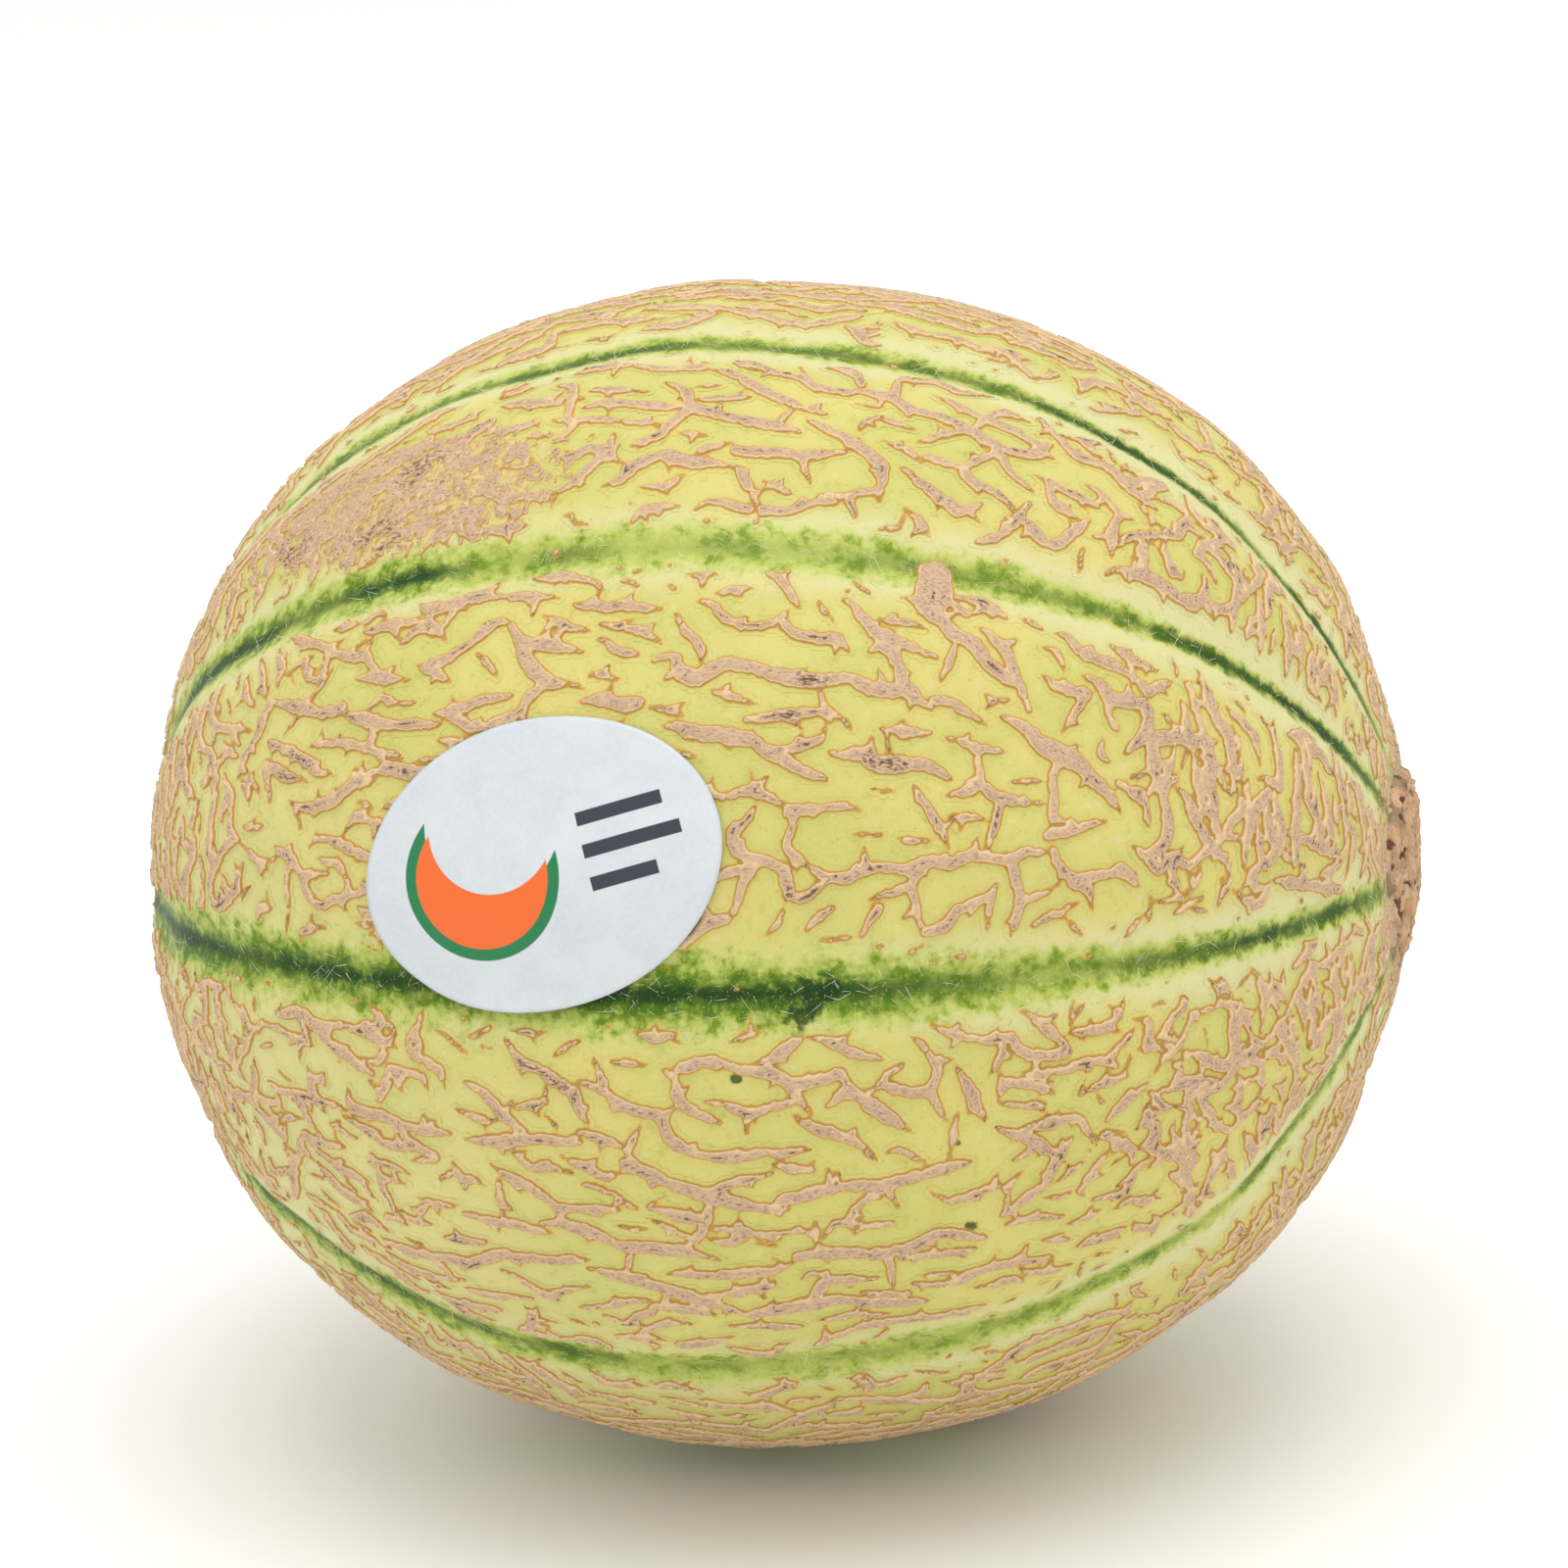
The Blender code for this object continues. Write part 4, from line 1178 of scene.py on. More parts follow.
def cast_back(pixels):
    """Where the camera sees these pixels of the photo on the fruit, as latitudes and turns."""
    right, up, back, place = (np.array(vector) for vector in camera_axes())
    across, down = (np.array(pixels, float).T / PHOTO_SIZE - 0.5) * SENSOR / CAMERA_LENS
    ray = across[:, None] * right - down[:, None] * up - back
    ray /= np.linalg.norm(ray, axis=1, keepdims=True)
    points = place + ray * (CAMERA_DISTANCE - 1.2 * HALF_LENGTH)
    for _ in range(40):
        points = points + ray * angles_at(points)[2][:, None]
    return angles_at(points)[:2]


def seen_path(corners):
    """The places along a strand that the photo shows, with its corners rounded off and a little crooked."""
    line = [Vector(place_of(*spot)) for spot in zip(*(part.tolist() for part in cast_back(corners)))]
    spots = []
    for start, end in zip(line, line[1:]):
        count = max(2, round((end - start).length / STEP))
        spots += [start.lerp(end, k / count) for k in range(count)]
    spots.append(line[-1])
    crooked = []
    for k in range(len(spots)):
        nearby = spots[max(k - 1, 0):k + 2]
        middle = sum(nearby, Vector()) / len(nearby)
        crooked.append(middle + noise.noise_vector(middle / (1.7 * MM)) * 0.22 * MM)
    latitude, turn, _ = angles_at(np.array(crooked) + (0.0, 0.0, LIFT))
    return list(zip(latitude.tolist(), turn.tolist()))


def lay_seen_strands(net):
    """The strands on the side that the photo shows, among them the tag of cork that crosses a furrow."""
    for width, *corners in TAG_STRANDS:
        path = seen_path(corners)
        net.keep(path, [width * MM] * len(path))
    for width, *corners in SEEN_STRANDS:
        path = seen_path(corners)
        joined = [net.near(place_of(*path[end]), 1.2 * MM) for end in (0, -1)]
        net.keep(path, spindle(len(path), width * MM, net.draw, *joined))
    net.seen = range(len(net.strands))


def seen_nearby(net, latitude, place):
    """Whether a strand that the photo shows is so near that no other is laid. They lie closer at the ends."""
    return net.near(place, SEEN_ROOM * (1.0 - 0.45 * end_share(latitude)), seen_only=True)


def lay_main_strands(net):
    """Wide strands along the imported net's ridges. Those across the favoured lie are thinner or missing."""
    draw = net.draw
    points, edges = ridge_lines()
    for chain in through_lines(points, edges, draw):
        line = [Vector(points[corner]) for corner in chain]
        places = []
        for start, end in zip(line, line[1:]):
            count = max(1, round((end - start).length / STEP))
            places += [wandered(start.lerp(end, k / count)) for k in range(count)]
        places.append(wandered(line[-1]))
        spots = np.array(places)
        latitude, turn, _ = angles_at(spots + (0.0, 0.0, LIFT))
        along = abs(spots[-1][0] - spots[0][0]) / max(float(np.linalg.norm(spots[-1] - spots[0])), 1e-6)
        share = end_share(float(latitude.mean()))
        fits = along * (1.0 - share) + (1.0 - along) * share
        if draw.random() > 0.15 + 1.0 * fits ** 1.5:
            continue
        width = draw.uniform(0.95, 1.45) * (0.45 + 0.60 * fits) * (1.0 - 0.15 * share) * MM
        path = [place for place in zip(latitude.tolist(), turn.tolist()) if not bare(*place, 1.0)]
        crossing = any(seen_nearby(net, place[0], place_of(*place)) for place in path)
        if len(path) > 5 and not crossing:
            net.keep(path, spindle(len(path), width, draw, draw.random() < 0.4, draw.random() < 0.4))


def lay_cracks(net, tries, spacing, length, width):
    """Strands that start away from the others by a spacing and grow both ways, each a spindle or a link."""
    draw = net.draw
    for _ in range(tries):
        latitude = math.asin(draw.uniform(-0.992, 0.985))
        turn = draw.uniform(-math.pi, math.pi)
        room = spacing * openness(latitude, turn)
        beside = float(furrow_distance(latitude, turn)) < 6.0 * MM
        place = place_of(latitude, turn)
        if bare(latitude, turn, draw.uniform(0.9, 1.6)) or net.near(place, room):
            continue
        if seen_nearby(net, latitude, place):
            continue
        lie, pull = lie_at(latitude)
        heading = draw.gauss(lie, 0.26 + 0.9 * (1.0 - pull) + 0.5 * beside)
        reach = draw.lognormvariate(math.log(length * (0.6 if beside else 1.0)), 0.45) * (0.5 + 0.5 * pull)
        ahead, end_joined = grow(net, latitude, turn, heading, 0.5 * reach)
        behind, start_joined = grow(net, latitude, turn, heading + math.pi, 0.5 * reach)
        path = behind[:0:-1] + ahead
        if len(path) < 6:
            continue
        widest = min(width * draw.uniform(0.75, 1.3), 0.30 * len(path) * STEP)
        net.keep(path, spindle(len(path), widest, draw, start_joined, end_joined))


def strand_way(path, k):
    """The place of a strand's point, and the heading of the strand there."""
    (latitude, turn), ahead = path[k], path[k + 1]
    way = math.atan2(
        (ahead[1] - turn) * float(section_radius(latitude)),
        (ahead[0] - latitude) * float(meridian_rate(latitude)),
    )
    return latitude, turn, way


def lay_branches(net, every, length, width):
    """Links and thorns that leave the strands grown so far at steep angles."""
    draw = net.draw
    for number, (path, widths) in enumerate(list(net.strands)):
        if number in net.seen:
            continue
        k = draw.expovariate(1.0 / every) / STEP
        while k < len(path) - 2:
            latitude, turn, way = strand_way(path, int(k))
            heading = way + draw.choice((-1.0, 1.0)) * draw.uniform(0.8, 1.6)
            reach = draw.lognormvariate(math.log(length), 0.5) + 0.5 * widths[int(k)]
            branch, joined = grow(net, latitude, turn, heading, reach, number)
            if len(branch) > 2:
                root = min(width * draw.uniform(0.7, 1.3), 0.9 * widths[int(k)] + 0.15 * MM)
                net.keep(branch, spindle(len(branch), root, draw, True, joined))
            k += draw.expovariate(1.0 / every) / STEP


def lay_thorns(net):
    """Short pointed thorns that stand out sideways from the strands."""
    draw = net.draw
    thorns = []
    for number, (path, widths) in enumerate(net.strands):
        sparse = 1.6 if number in net.seen else 1.0
        k = sparse * draw.uniform(1.5, 4.0) * MM / STEP
        while k < len(path) - 4:
            latitude, turn, way = strand_way(path, int(k))
            heading = way + draw.choice((-1.0, 1.0)) * draw.uniform(0.6, 1.6)
            count = int((draw.uniform(0.5, 1.5) * MM + 0.5 * widths[int(k)]) / STEP) + 1
            thorn = [(latitude, turn)]
            for _ in range(count):
                heading += draw.gauss(0.0, 0.12)
                thorn.append(stepped(*thorn[-1], heading, STEP))
            root = min(0.8 * widths[int(k)], draw.uniform(0.45, 0.75) * MM)
            if not bare(*thorn[-1], 0.8):
                thorns.append((thorn, [root * (1.0 - j / count) + 0.12 * MM for j in range(count + 1)]))
            k += sparse * draw.uniform(2.0, 6.0) * MM / STEP
    for path, widths in thorns:
        net.keep(path, widths)


def lay_warts(net, tries):
    """Small warts in the open skin, most of them beside the furrows."""
    draw = net.draw
    for _ in range(tries):
        latitude = math.asin(draw.uniform(-0.97, 0.97))
        turn = draw.uniform(-math.pi, math.pi)
        distance = float(furrow_distance(latitude, turn))
        likely = 1.0 if 2.2 * MM < distance < 6.0 * MM else 0.10
        place = place_of(latitude, turn)
        likely *= 0.3 if seen_nearby(net, latitude, place) else 1.0
        if draw.random() < likely and not net.near(place, draw.uniform(0.9, 1.8) * MM):
            along = stepped(latitude, turn, draw.gauss(0.0, 0.6), draw.expovariate(2.5) * MM)
            net.keep([(latitude, turn), along], [draw.uniform(0.45, 0.85) * MM] * 2)


def grown_net():
    """The whole net: seen strands first, then main ones, then ever finer ones between them. The vector noise
    is seeded, because it starts from the clock otherwise."""
    noise.seed_set(NET_SEED)
    net = Net()
    lay_seen_strands(net)
    lay_main_strands(net)
    lay_cracks(net, *LONG_CRACKS)
    lay_branches(net, *BRANCHES)
    lay_cracks(net, *SHORT_CRACKS)
    lay_thorns(net)
    lay_warts(net, WART_TRIES)
    return net


def ripples(points, length, seed, waves=28):
    """Noise round 0 with a spread near 1, as a sum of plane waves of about this length."""
    draw = np.random.default_rng(seed)
    total = np.zeros(points.shape[:-1])
    for _ in range(waves):
        way = draw.normal(size=3)
        way *= 2.0 * np.pi / (length * draw.uniform(0.7, 1.5)) / np.linalg.norm(way)
        total += np.sin(points @ way + draw.uniform(0.0, 2.0 * np.pi))
    return total / math.sqrt(0.5 * waves)


def patch_places(patch, i, j):
    """Latitudes and turns of grid places on one side of a cube that is drawn on the fruit."""
    axis, side, up = np.array(patch, float)
    a = np.tan((np.asarray(i) / PATCH_CELLS - 0.5) * 0.5 * np.pi)[..., None]
    b = np.tan((np.asarray(j) / PATCH_CELLS - 0.5) * 0.5 * np.pi)[..., None]
    way = axis + a * side + b * up
    way /= np.linalg.norm(way, axis=-1, keepdims=True)
    latitude = np.clip(np.arcsin(np.clip(way[..., 0], -1.0, 1.0)), -POLE, POLE)
    return latitude, np.arctan2(way[..., 2], -way[..., 1])


def strand_pieces(net):
    """Every short straight piece of every strand: both its ends as latitude and turn, and half its widths."""
    starts, ends, half_starts, half_ends = [], [], [], []
    for path, widths in net.strands:
        starts += path[:-1]
        ends += path[1:]
        half_starts += [0.5 * width for width in widths[:-1]]
        half_ends += [0.5 * width for width in widths[1:]]
    return np.array(starts), np.array(ends), np.array(half_starts), np.array(half_ends)


def net_fields(patch, pieces):
    """Latitudes and turns of a patch's grid, how far inside the net's outline each place lies, and how far it
    is from a strand's middle line."""
    starts, ends, half_starts, half_ends = pieces
    axis, side, up = np.array(patch, float)
    count = PATCH_CELLS + 1
    grid = np.meshgrid(np.arange(count), np.arange(count), indexing="ij")
    latitude, turn = patch_places(patch, *grid)
    points = body_at(latitude, turn).reshape(-1, 3)
    north, round_axis = starts.T
    across = np.cos(north)
    way = np.stack([np.sin(north), -across * np.cos(round_axis), across * np.sin(round_axis)], axis=-1)
    facing = way @ axis
    column = np.rint((np.arctan2(way @ side, facing) / (0.5 * np.pi) + 0.5) * PATCH_CELLS).astype(int)
    row = np.rint((np.arctan2(way @ up, facing) / (0.5 * np.pi) + 0.5) * PATCH_CELLS).astype(int)
    there = (facing > 0.3) & (np.minimum(column, row) > -WINDOW) & (np.maximum(column, row) < count + WINDOW)
    first, last = body_at(*starts[there].T), body_at(*ends[there].T)
    span = last - first
    squared = np.maximum((span ** 2).sum(axis=-1), 1e-12)
    half_first, widening = half_starts[there], (half_ends - half_starts)[there]
    column, row = column[there], row[there]
    crowd = np.zeros(count * count)
    middle = np.full(count * count, 1.0 * MM)
    for shift_i in range(-WINDOW, WINDOW + 1):
        for shift_j in range(-WINDOW, WINDOW + 1):
            i, j = column + shift_i, row + shift_j
            on = (i >= 0) & (j >= 0) & (i < count) & (j < count)
            at = i[on] * count + j[on]
            apart = points[at] - first[on]
            share = np.clip((apart * span[on]).sum(axis=-1) / squared[on], 0.0, 1.0)
            distance = np.linalg.norm(apart - share[:, None] * span[on], axis=-1)
            np.add.at(crowd, at, np.exp((half_first[on] + share * widening[on] - distance) * BLEND))
            np.minimum.at(middle, at, distance)
    inside = np.log(np.maximum(crowd, 1e-9)) / BLEND - BLEND_GAIN
    return latitude, turn, inside.reshape(count, count), middle.reshape(count, count)


def roughened(latitude, turn, inside):
    """Frays the net's edges, grows it together where it is corky, and wears it off round the flat spot."""
    points = body_at(latitude, turn)
    coarse = ripples(points, COARSE_FRAY, 1)
    fine = ripples(points, FINE_FRAY, 2)
    inside = inside + (0.045 * coarse + 0.045 * fine) * MM
    radius = section_radius(latitude)
    corky = cork_share(latitude, turn)
    broken = 0.22 * ripples(points, CRUST_WAVES, 3) + 0.36 * coarse + 0.48 * fine
    furrowed = smooth(2.0 * MM, 0.6 * MM, furrow_distance(latitude, turn)) * smooth(10 * MM, 11 * MM, radius)
    crust = (corky - 0.80 + broken * smooth(0.0, 0.3, corky) - 0.9 * furrowed) * MM
    inside = np.maximum(inside, np.minimum(crust, 0.55 * MM))
    return inside - 2.0 * MM * (1.0 - worn(latitude, turn))


def snapped(inside):
    """Grid places moved onto the outline where it passes close by, so that no thin slivers are left."""
    count = inside.shape[0]
    place = np.stack(np.meshgrid(np.arange(count), np.arange(count), indexing="ij"), axis=-1).astype(float)
    nearest = np.full(inside.shape, SNAP)
    target = place.copy()
    for di, dj in ((1, 0), (0, 1), (1, 1)):
        here = (slice(0, count - di), slice(0, count - dj))
        there = (slice(di, count), slice(dj, count))
        low, high = inside[here], inside[there]
        crossed = low * high < 0.0
        share = np.where(crossed, low / np.where(crossed, low - high, 1.0), 9.0)
        for view, portion, sign in ((here, share, 1.0), (there, 1.0 - share, -1.0)):
            closer = crossed & (portion < nearest[view])
            nearest[view] = np.where(closer, portion, nearest[view])
            moved = place[view] + sign * portion[..., None] * np.array([di, dj])
            target[view] = np.where(closer[..., None], moved, target[view])
    close = nearest < SNAP
    close[[0, -1], :] = False
    close[:, [0, -1]] = False
    place[close] = target[close]
    return place.reshape(-1, 2), np.where(close, 0.0, inside).ravel()


def one_cut_off(a, b, c, cut_b, cut_c):
    """The three triangles that triangles become when their first corner is cut off."""
    return [np.stack(corners, axis=-1) for corners in ((a, cut_b, cut_c), (cut_b, b, c), (cut_b, c, cut_c))]


def outlined_triangles(place, inside, middle, count):
    """Triangles of a grid, cut exactly at the net's outline: those inside it and the fringe round it."""
    i, j = np.meshgrid(np.arange(count - 1), np.arange(count - 1), indexing="ij")
    corner = (i * count + j).ravel()
    halves = [(corner, corner + count, corner + count + 1), (corner, corner + count + 1, corner + 1)]
    triangles = np.concatenate([np.stack(half, axis=-1) for half in halves])
    triangles = triangles[inside[triangles].max(axis=1) > -FRINGE]
    signs = np.sign(inside)[triangles]
    kept = [triangles[(signs.min(axis=1) >= 0) | (signs.max(axis=1) <= 0)]]
    mixed = (signs.min(axis=1) < 0) & (signs.max(axis=1) > 0)
    triangles, signs = triangles[mixed], signs[mixed]
    cuts = []

    def turned(chosen, lead):
        """The chosen triangles, each turned round until its corner of this number comes first."""
        order = (np.arange(3)[None, :] + lead[chosen][:, None]) % 3
        return np.take_along_axis(triangles[chosen], order, axis=1).T

    def cut(first, second):
        """New corners where the outline crosses these edges, numbered on from the grid's own."""
        start = len(inside) + sum(len(part) for part in cuts)
        cuts.append(np.stack([first, second], axis=-1))
        return start + np.arange(len(first))

    positive = (signs > 0).sum(axis=1)
    negative = (signs < 0).sum(axis=1)
    low, high = signs.argmin(axis=1), signs.argmax(axis=1)
    a, b, c = turned((positive == 2) & (negative == 1), low)
    kept += one_cut_off(a, b, c, cut(a, b), cut(a, c))
    a, b, c = turned((positive == 1) & (negative == 2), high)
    kept += one_cut_off(a, b, c, cut(a, b), cut(a, c))
    a, b, c = turned((positive == 1) & (negative == 1), high)
    b_low = inside[b] < 0
    edge = cut(a, np.where(b_low, b, c))
    kept.append(np.stack([a, np.where(b_low, edge, b), np.where(b_low, c, edge)], axis=-1))
    kept.append(np.stack([edge, b, c], axis=-1))

    ends = np.sort(np.concatenate(cuts), axis=1)
    ends, index = np.unique(ends, axis=0, return_inverse=True)
    first, last = ends.T
    share = inside[first] / (inside[first] - inside[last])
    middle = np.concatenate([middle, middle[first] * (1.0 - share) + middle[last] * share])
    share = share[:, None]
    place = np.concatenate([place, place[first] * (1.0 - share) + place[last] * share])
    number = np.concatenate([np.arange(len(inside)), len(inside) + index.ravel()])
    inside = np.concatenate([inside, np.zeros(len(ends))])
    used, triangles = np.unique(number[np.concatenate(kept)], return_inverse=True)
    return place[used], inside[used], middle[used], triangles.reshape(-1, 3)


def triangle_mesh(name, points, triangles, numbers):
    """A mesh object from arrays, with the numbers that its points carry."""
    mesh = bpy.data.meshes.new(name)
    mesh.vertices.add(len(points))
    mesh.vertices.foreach_set("co", np.asarray(points, np.float32).ravel())
    mesh.loops.add(triangles.size)
    mesh.loops.foreach_set("vertex_index", triangles.astype(np.int32).ravel())
    mesh.polygons.add(len(triangles))
    mesh.polygons.foreach_set("loop_start", np.arange(0, triangles.size, 3, dtype=np.int32))
    mesh.update(calc_edges=True)
    for key, values in numbers.items():
        flat = values.ndim == 1
        layer = mesh.attributes.new(key, "FLOAT" if flat else "FLOAT_VECTOR", "POINT")
        layer.data.foreach_set("value" if flat else "vector", values.astype(np.float32).ravel())
    return in_scene(name, mesh)


def named(tree, name, kind="FLOAT"):
    """A value that the geometry's points carry, for a geometry tree."""
    return tree.add("GeometryNodeInputNamedAttribute", {"data_type": kind}, {"Name": name})


def new_tree(name, sizes):
    """An empty geometry tree with named inputs for its sizes. Gives the tree and its inputs by name."""
    group = bpy.data.node_groups.new(name, "GeometryNodeTree")
    group.interface.new_socket("Geometry", in_out="INPUT", socket_type="NodeSocketGeometry")
    for key, kind in sizes.items():
        group.interface.new_socket(key, in_out="INPUT", socket_type=kind)
    group.interface.new_socket("Geometry", in_out="OUTPUT", socket_type="NodeSocketGeometry")
    tree = Tree(group)
    inputs = group.nodes.new("NodeGroupInput")
    return tree, {socket.name: Wire(tree, socket) for socket in inputs.outputs if socket.name}


def finish_tree(tree, geometry, material):
    """Ends a geometry tree with real geometry, shaded smooth, in its material."""
    geometry = tree.add("GeometryNodeRealizeInstances", None, {"Geometry": geometry})
    geometry = tree.add("GeometryNodeSetShadeSmooth", None, {"Geometry": geometry, "Shade Smooth": True})
    geometry = tree.add("GeometryNodeSetMaterial", None, {"Geometry": geometry, "Material": material})
    out = tree.tree.nodes.new("NodeGroupOutput")
    tree.tree.links.new(geometry.socket, out.inputs["Geometry"])
    return tree.tree


def relief_tree():
    """Raises the net: steeply at its outline to a lip, then a little down to a bumpy middle. The fringe
    stays where it is."""
    kinds = {key: "NodeSocketFloat" for key in NET_RELIEF}
    tree, sizes = new_tree("net_relief", {**kinds, "Material": "NodeSocketMaterial"})
    inside = named(tree, "inside").math("MAXIMUM", 0.0)
    place = tree.add("GeometryNodeInputPosition")
    rise = 1.0 - (inside / sizes["Slope"] * -1.0).math("EXPONENT")
    dip = tree.step(inside, sizes["Lip"], sizes["Lip"] * 2.2)
    bumps = tree.noise(place, 1.0, 2.0)
    tree.tree.links.new((1.0 / sizes["Bump Size"]).socket, bumps.socket.node.inputs["Scale"])
    height = sizes["Height"] * rise * (0.75 + 0.5 * bumps) - sizes["Drop"] * dip
    height = height + sizes["Bumps"] * dip * (bumps - 0.5)
    outward = named(tree, "outward", "FLOAT_VECTOR")
    offset = tree.add("ShaderNodeVectorMath", {"operation": "SCALE"}, {0: outward, "Scale": height})
    raised = vector_math(tree, "MAXIMUM", vector_math(tree, "ADD", place, offset), (-9.0, -9.0, 0.0))
    geometry = tree.add("GeometryNodeSetPosition", None, {"Geometry": sizes["Geometry"], "Position": raised})
    return finish_tree(tree, geometry, sizes["Material"])


def applied(thing, group, values):
    """Runs a geometry tree on an object, with values for its named inputs, and gives the outcome as an object
    with a plain mesh in its place."""
    modifier = thing.modifiers.new(group.name, "NODES")
    modifier.node_group = group
    for item in group.interface.items_tree:
        if item.in_out == "INPUT" and item.name in values:
            modifier[item.identifier] = values[item.name]
    graph = bpy.context.evaluated_depsgraph_get()
    mesh = bpy.data.meshes.new_from_object(thing.evaluated_get(graph), depsgraph=graph)
    name = thing.name
    thing.modifiers.clear()
    bpy.data.objects.remove(thing)
    mesh.name = name
    return in_scene(name, mesh)


def build_net(material):
    """The net as six raised sheets cut along its outline, one for each side of a cube drawn on the fruit."""
    pieces = strand_pieces(grown_net())
    group = relief_tree()
    sizes = {**NET_RELIEF, "Material": material}
    patches = []
    for name, patch in PATCHES.items():
        latitude, turn, inside, middle = net_fields(patch, pieces)
        place, inside = snapped(roughened(latitude, turn, inside))
        place, inside, middle, triangles = outlined_triangles(place, inside, middle.ravel(), PATCH_CELLS + 1)
        latitude, turn = patch_places(patch, *place.T)
        numbers = {
            "inside": inside,
            "middle": middle,
            "outward": outward_at(latitude, turn),
            **skin_numbers(latitude, turn),
        }
        sheet = triangle_mesh("net_" + name, rind_at(latitude, turn, SHEET_LIFT), triangles, numbers)
        patches.append(applied(sheet, group, sizes))
    return patches


# Scars and hairs

def scar_latitude(radius):
    """The latitude where the smooth body has this radius."""
    return np.arccos(np.clip(radius / RADIUS, 0.0, 1.0) ** (1.0 / BLUNTNESS))


def build_scar(name, end, radius, middle, lip, roughness, material):
    """A corky cap on one end of the fruit: end is 1 for the stem and -1 for the blossom. It is raised at its
    middle, stands up with a lip at its upper rim and runs out at its lower rim. Its underside is closed."""
    sides = SCAR_SIDES
    share = np.linspace(0.0, 1.0, SCAR_RINGS + 1)[1:] ** 0.8
    share = np.concatenate([share, [1.02, 0.9]])
    turn = np.arange(sides) * 2.0 * np.pi / sides
    share, turn = np.meshgrid(share, turn, indexing="ij")
    rim = 1.0 + 0.035 * np.sin(2.0 * turn + 0.7) + 0.03 * np.sin(3.0 * turn + 2.0)
    rim = rim + 0.015 * np.sin(7.0 * turn) + 0.18 * smooth(0.1, 1.0, -np.sin(turn))
    latitude = end * scar_latitude(share * rim * radius)
    points = body_at(latitude, turn)
    pit = smooth(0.4, 1.6, ripples(points, 2.4 * MM, 21) + 0.6 * ripples(points, 1.1 * MM, 22))
    rough = 0.5 * ripples(points, 3.0 * MM, 23) + 0.45 * ripples(points, 1.2 * MM, 24)
    edge = 0.1 * MM + lip * smooth(-0.1, 0.9, np.sin(turn))
    top = middle - (middle - edge) * share ** 2 + roughness * rough - 2.2 * roughness * pit
    rise = top * smooth(1.04, 0.93, share)
    rise[-2] = -SKIRT_DEPTH
    rise[-1] = -UNDERSIDE_DEPTH
    ring_points = rind_at(latitude, turn, rise)
    centres = rind_at(end * np.array([POLE, POLE]), np.zeros(2), np.array([middle, -UNDERSIDE_DEPTH]))
    from_furrow = furrow_gaps(turn).min(axis=-1) * share * radius
    stain = smooth(2.6 * MM, 0.8 * MM, from_furrow) * smooth(0.70, 0.95, share)
    points = np.concatenate([ring_points.reshape(-1, 3), centres])
    count = len(share)
    faces = []
    for side in range(sides):
        after = (side + 1) % sides
        faces.append((count * sides, side, after))
        faces += [(a * sides + side, (a + 1) * sides + side, (a + 1) * sides + after, a * sides + after)
                  for a in range(count - 1)]
        faces.append((count * sides + 1, (count - 1) * sides + after, (count - 1) * sides + side))
    numbers = {"pit": np.append(pit, [0.0, 0.0]), "stain": np.append(stain, [0.0, 0.0])}
    scar = mesh_object(name, points, faces, material, numbers)
    outward_faces(scar)
    return scar


def hair_tree():
    """A thin bent cone on every point, stood along the way that the point gives and as long as it says."""
    kinds = {"Radius": "NodeSocketFloat", "Bend": "NodeSocketFloat", "Material": "NodeSocketMaterial"}
    tree, sizes = new_tree("furrow_hairs", kinds)
    hair = tree.add("GeometryNodeMeshCone", None, {
        "Vertices": 3,
        "Side Segments": 3,
        "Radius Top": sizes["Radius"] * 0.2,
        "Radius Bottom": sizes["Radius"],
        "Depth": 1.0,
    })
    corner = tree.tree.nodes.new("ShaderNodeSeparateXYZ")
    tree.tree.links.new(tree.add("GeometryNodeInputPosition").socket, corner.inputs[0])
    height = Wire(tree, corner.outputs["Z"])
    lean = tree.add("ShaderNodeCombineXYZ", None, {"X": height * height * sizes["Bend"]})
    hair = tree.add("GeometryNodeSetPosition", None, {"Geometry": hair, "Offset": lean})
    way = named(tree, "way", "FLOAT_VECTOR")
    stand = tree.add("FunctionNodeAlignRotationToVector", {"axis": "Z"}, {"Vector": way})
    size = tree.add("ShaderNodeCombineXYZ", None, {"X": 1.0, "Y": 1.0, "Z": named(tree, "length")})
    hairs = tree.add("GeometryNodeInstanceOnPoints", None, {
        "Points": sizes["Geometry"], "Instance": hair, "Rotation": stand, "Scale": size,
    })
    return finish_tree(tree, hairs, sizes["Material"])


def build_hairs(material):
    """Short pale hairs that lie in and beside the furrows."""
    draw = np.random.default_rng(31)
    latitude = np.arcsin(draw.uniform(-0.98, 0.985, HAIRS))
    furrow = np.radians(np.array(FURROW_TURNS))[draw.integers(0, len(FURROW_TURNS), HAIRS)]
    turn = furrow + draw.normal(0.0, HAIR_SPREAD, HAIRS) / section_radius(latitude)
    roots = rind_at(latitude, turn, -0.03 * MM)
    outward = outward_at(latitude, turn)
    way = draw.normal(size=(HAIRS, 3))
    way -= outward * (way * outward).sum(axis=1, keepdims=True)
    way /= np.linalg.norm(way, axis=1, keepdims=True)
    way += outward * draw.uniform(0.08, 0.6, (HAIRS, 1))
    length = np.clip(draw.lognormal(math.log(HAIR_LENGTH), 0.4, HAIRS), *HAIR_LENGTH_LIMITS) * MM
    above = roots[:, 2] > 1.0 * MM
    numbers = {"way": way[above], "length": length[above]}
    points = triangle_mesh("furrow_hairs", roots[above], np.zeros((0, 3), int), numbers)
    sizes = {"Radius": HAIR_RADIUS, "Bend": HAIR_BEND, "Material": material}
    return applied(points, hair_tree(), sizes)


# Label

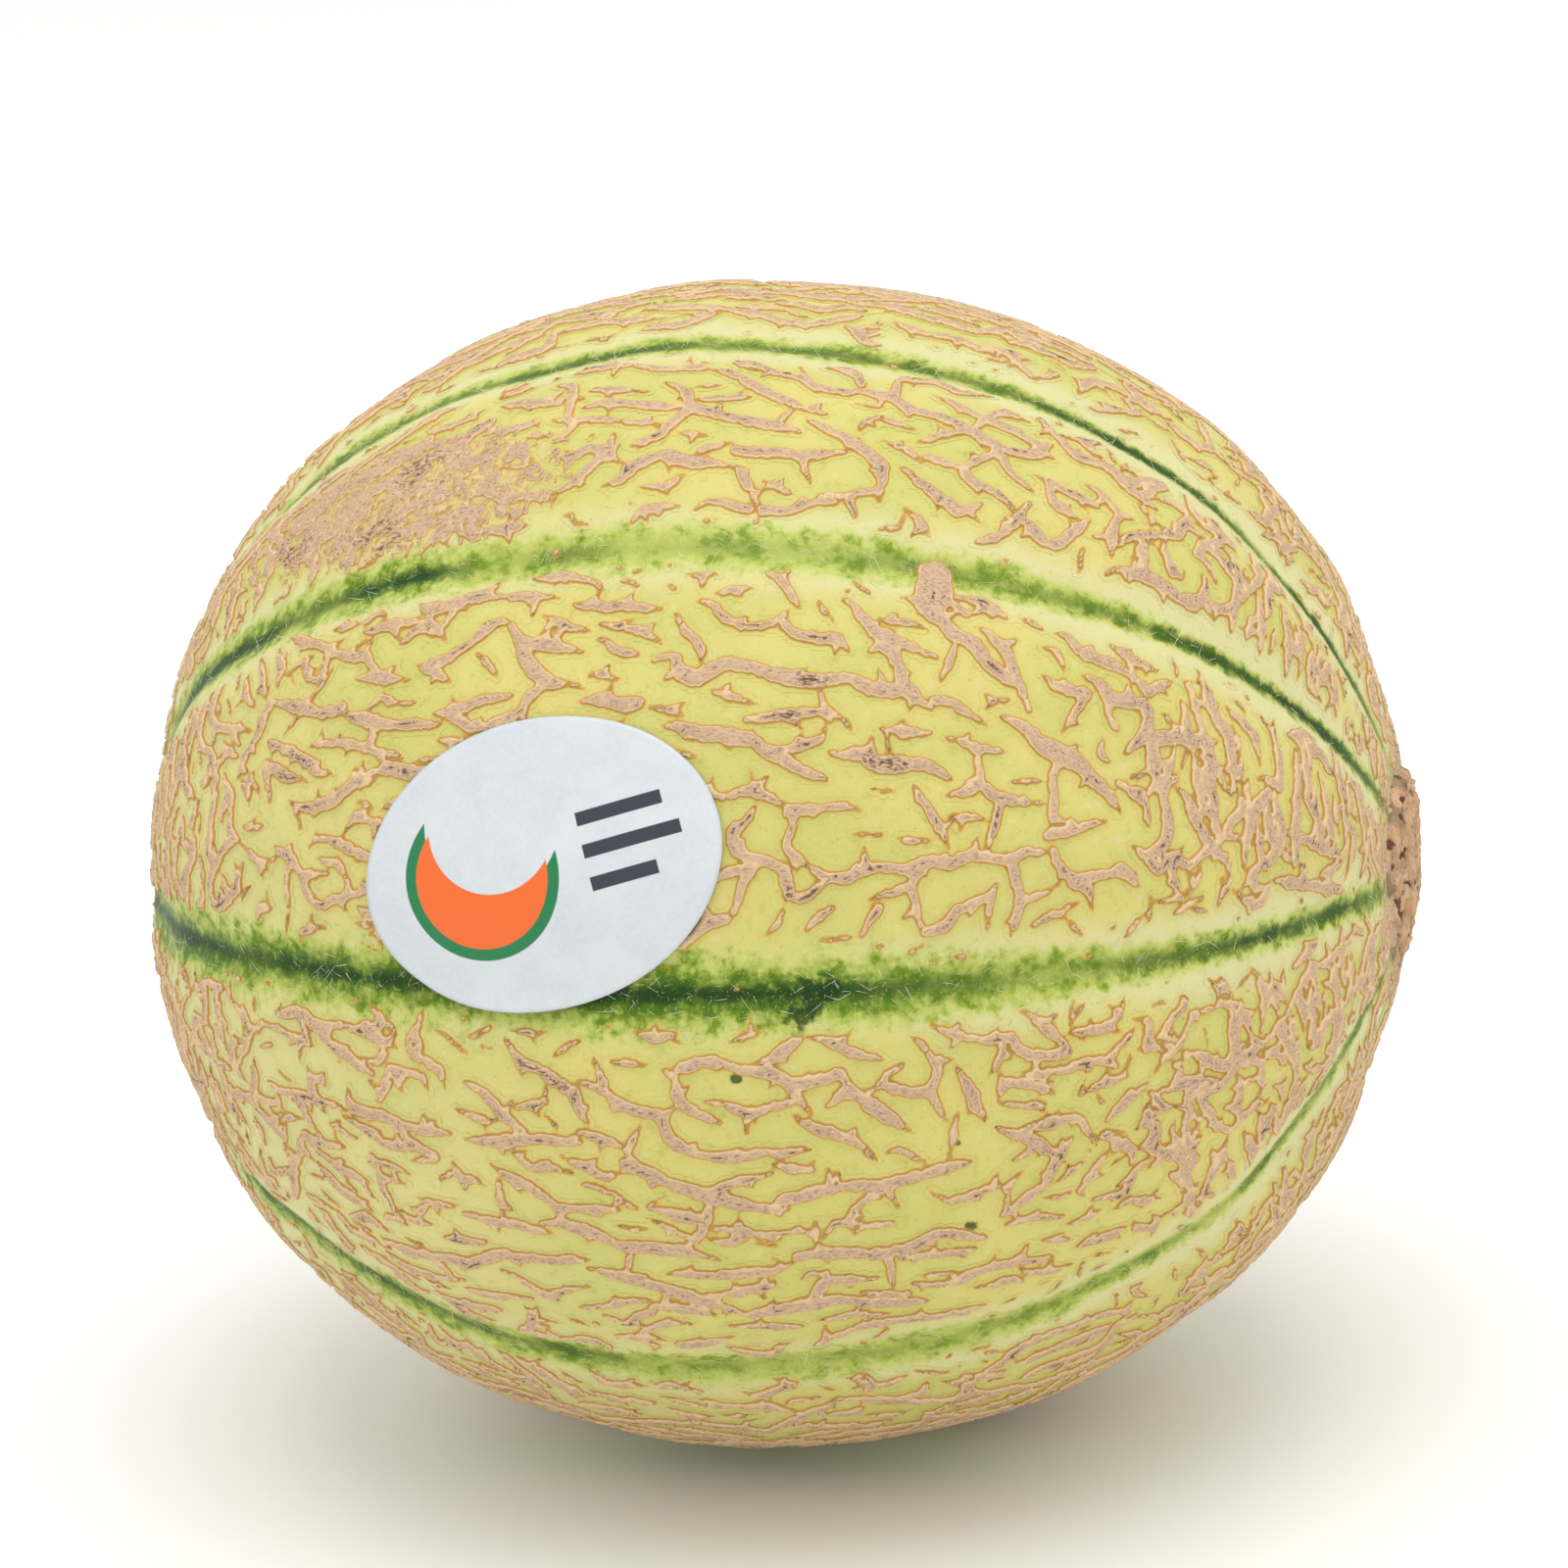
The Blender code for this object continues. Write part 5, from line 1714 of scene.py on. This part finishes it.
def label_place(along, up):
    """The latitude and turn of a place of the unrolled label, measured from its centre."""
    tilt = math.radians(LABEL_TILT)
    x = LABEL_ALONG + along * np.cos(tilt) - up * np.sin(tilt)
    arc = along * np.sin(tilt) + up * np.cos(tilt)
    latitude = np.arcsin(x / HALF_LENGTH)
    return latitude, np.radians(LABEL_TURN) + arc / section_radius(latitude)


def build_label(material):
    """The paper label: rings of points out from its centre, lying on the net, with a thin cut edge."""
    rings, sides = LABEL_RINGS, LABEL_SIDES
    share = np.repeat(np.arange(1, rings + 1) / rings, sides)
    angle = np.tile(np.arange(sides) * 2.0 * np.pi / sides, rings)
    share, angle = np.concatenate([[0.0], share]), np.concatenate([[0.0], angle])
    along = 0.5 * LABEL_LENGTH * share * np.cos(angle)
    up = 0.5 * LABEL_HEIGHT * share * np.sin(angle)
    latitude, turn = label_place(along, up)
    lift = LABEL_LIFT + furrow_depth(latitude, turn) * LABEL_BRIDGE
    top = rind_at(latitude, turn, lift + PAPER_THICKNESS)
    under = rind_at(latitude, turn, lift)
    count = len(share)
    faces = []
    for side in range(sides):
        after = (side + 1) % sides
        for base, flip in ((0, False), (count, True)):
            loops = [(base, base + 1 + side, base + 1 + after)]
            for ring in range(rings - 1):
                a, b = base + 1 + ring * sides, base + 1 + (ring + 1) * sides
                loops.append((a + side, b + side, b + after, a + after))
            faces += [tuple(reversed(loop)) if flip else loop for loop in loops]
        edge = 1 + (rings - 1) * sides
        faces.append((edge + after, edge + side, count + edge + side, count + edge + after))
    points = np.concatenate([top, under])
    numbers = {"label_x": np.tile(along, 2) / MM, "label_y": np.tile(up, 2) / MM}
    label = mesh_object("paper_label", points, faces, material, numbers)
    outward_faces(label)
    return label


def outward_faces(thing):
    """Turns every face of a closed mesh outwards."""
    shape = bmesh.new()
    shape.from_mesh(thing.data)
    bmesh.ops.recalc_face_normals(shape, faces=shape.faces)
    shape.to_mesh(thing.data)
    shape.free()


# Stage

def build_camera():
    """The camera, where the photo was taken from."""
    right, up, back, place = camera_axes()
    data = bpy.data.cameras.new("camera")
    data.lens = CAMERA_LENS
    data.sensor_width = SENSOR
    data.sensor_fit = "HORIZONTAL"
    data.clip_start = 0.01
    camera = in_scene("camera", data)
    camera.matrix_world = Matrix((
        (right.x, up.x, back.x, place.x),
        (right.y, up.y, back.y, place.y),
        (right.z, up.z, back.z, place.z),
        (0.0, 0.0, 0.0, 1.0),
    ))
    bpy.context.scene.camera = camera


def build_light():
    """A square soft light over the fruit that looks at it."""
    data = bpy.data.lights.new("key_light", "AREA")
    data.shape = "SQUARE"
    data.size = LIGHT_SIZE
    data.energy = LIGHT_POWER
    light = in_scene("key_light", data)
    light.location = LIGHT_PLACE
    towards = Vector((0.0, 0.0, LIFT)) - Vector(LIGHT_PLACE)
    light.rotation_euler = towards.to_track_quat("-Z", "Y").to_euler()


def build_stage():
    """A pale floor and a white surrounding."""
    half = FLOOR_HALF_WIDTH
    corners = [(-half, -half, 0.0), (half, -half, 0.0), (half, half, 0.0), (-half, half, 0.0)]
    floor = mesh_object("floor", corners, [(0, 1, 2, 3)], floor_material())
    floor.location.z = -FLOOR_DROP
    world = bpy.data.worlds.new("surround")
    world.use_nodes = True
    backdrop = world.node_tree.nodes["Background"]
    backdrop.inputs["Color"].default_value = (1.0, 1.0, 1.0, 1.0)
    backdrop.inputs["Strength"].default_value = 1.0
    bpy.context.scene.world = world
    bpy.context.scene.view_settings.view_transform = "Standard"


def main():
    """Builds the fruit, its label and the stage, and says what each piece belongs to."""
    rind = build_rind(rind_material())
    cork = scar_material()
    pieces = build_net(net_material())
    stem = (1, SCAR_RADIUS, SCAR_HEIGHT, SCAR_LIP, SCAR_ROUGHNESS)
    button = (-1, BUTTON_RADIUS, BUTTON_HEIGHT, BUTTON_LIP, BUTTON_ROUGHNESS)
    pieces.append(build_scar("stem_scar", *stem, cork))
    pieces.append(build_scar("blossom_scar", *button, cork))
    pieces.append(build_hairs(hair_material()))
    label = build_label(paper_material())
    build_stage()
    build_light()
    build_camera()
    for piece in [rind] + pieces:
        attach(piece, "root")
    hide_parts("melon")
    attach(label, "root")
    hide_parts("label")


main()
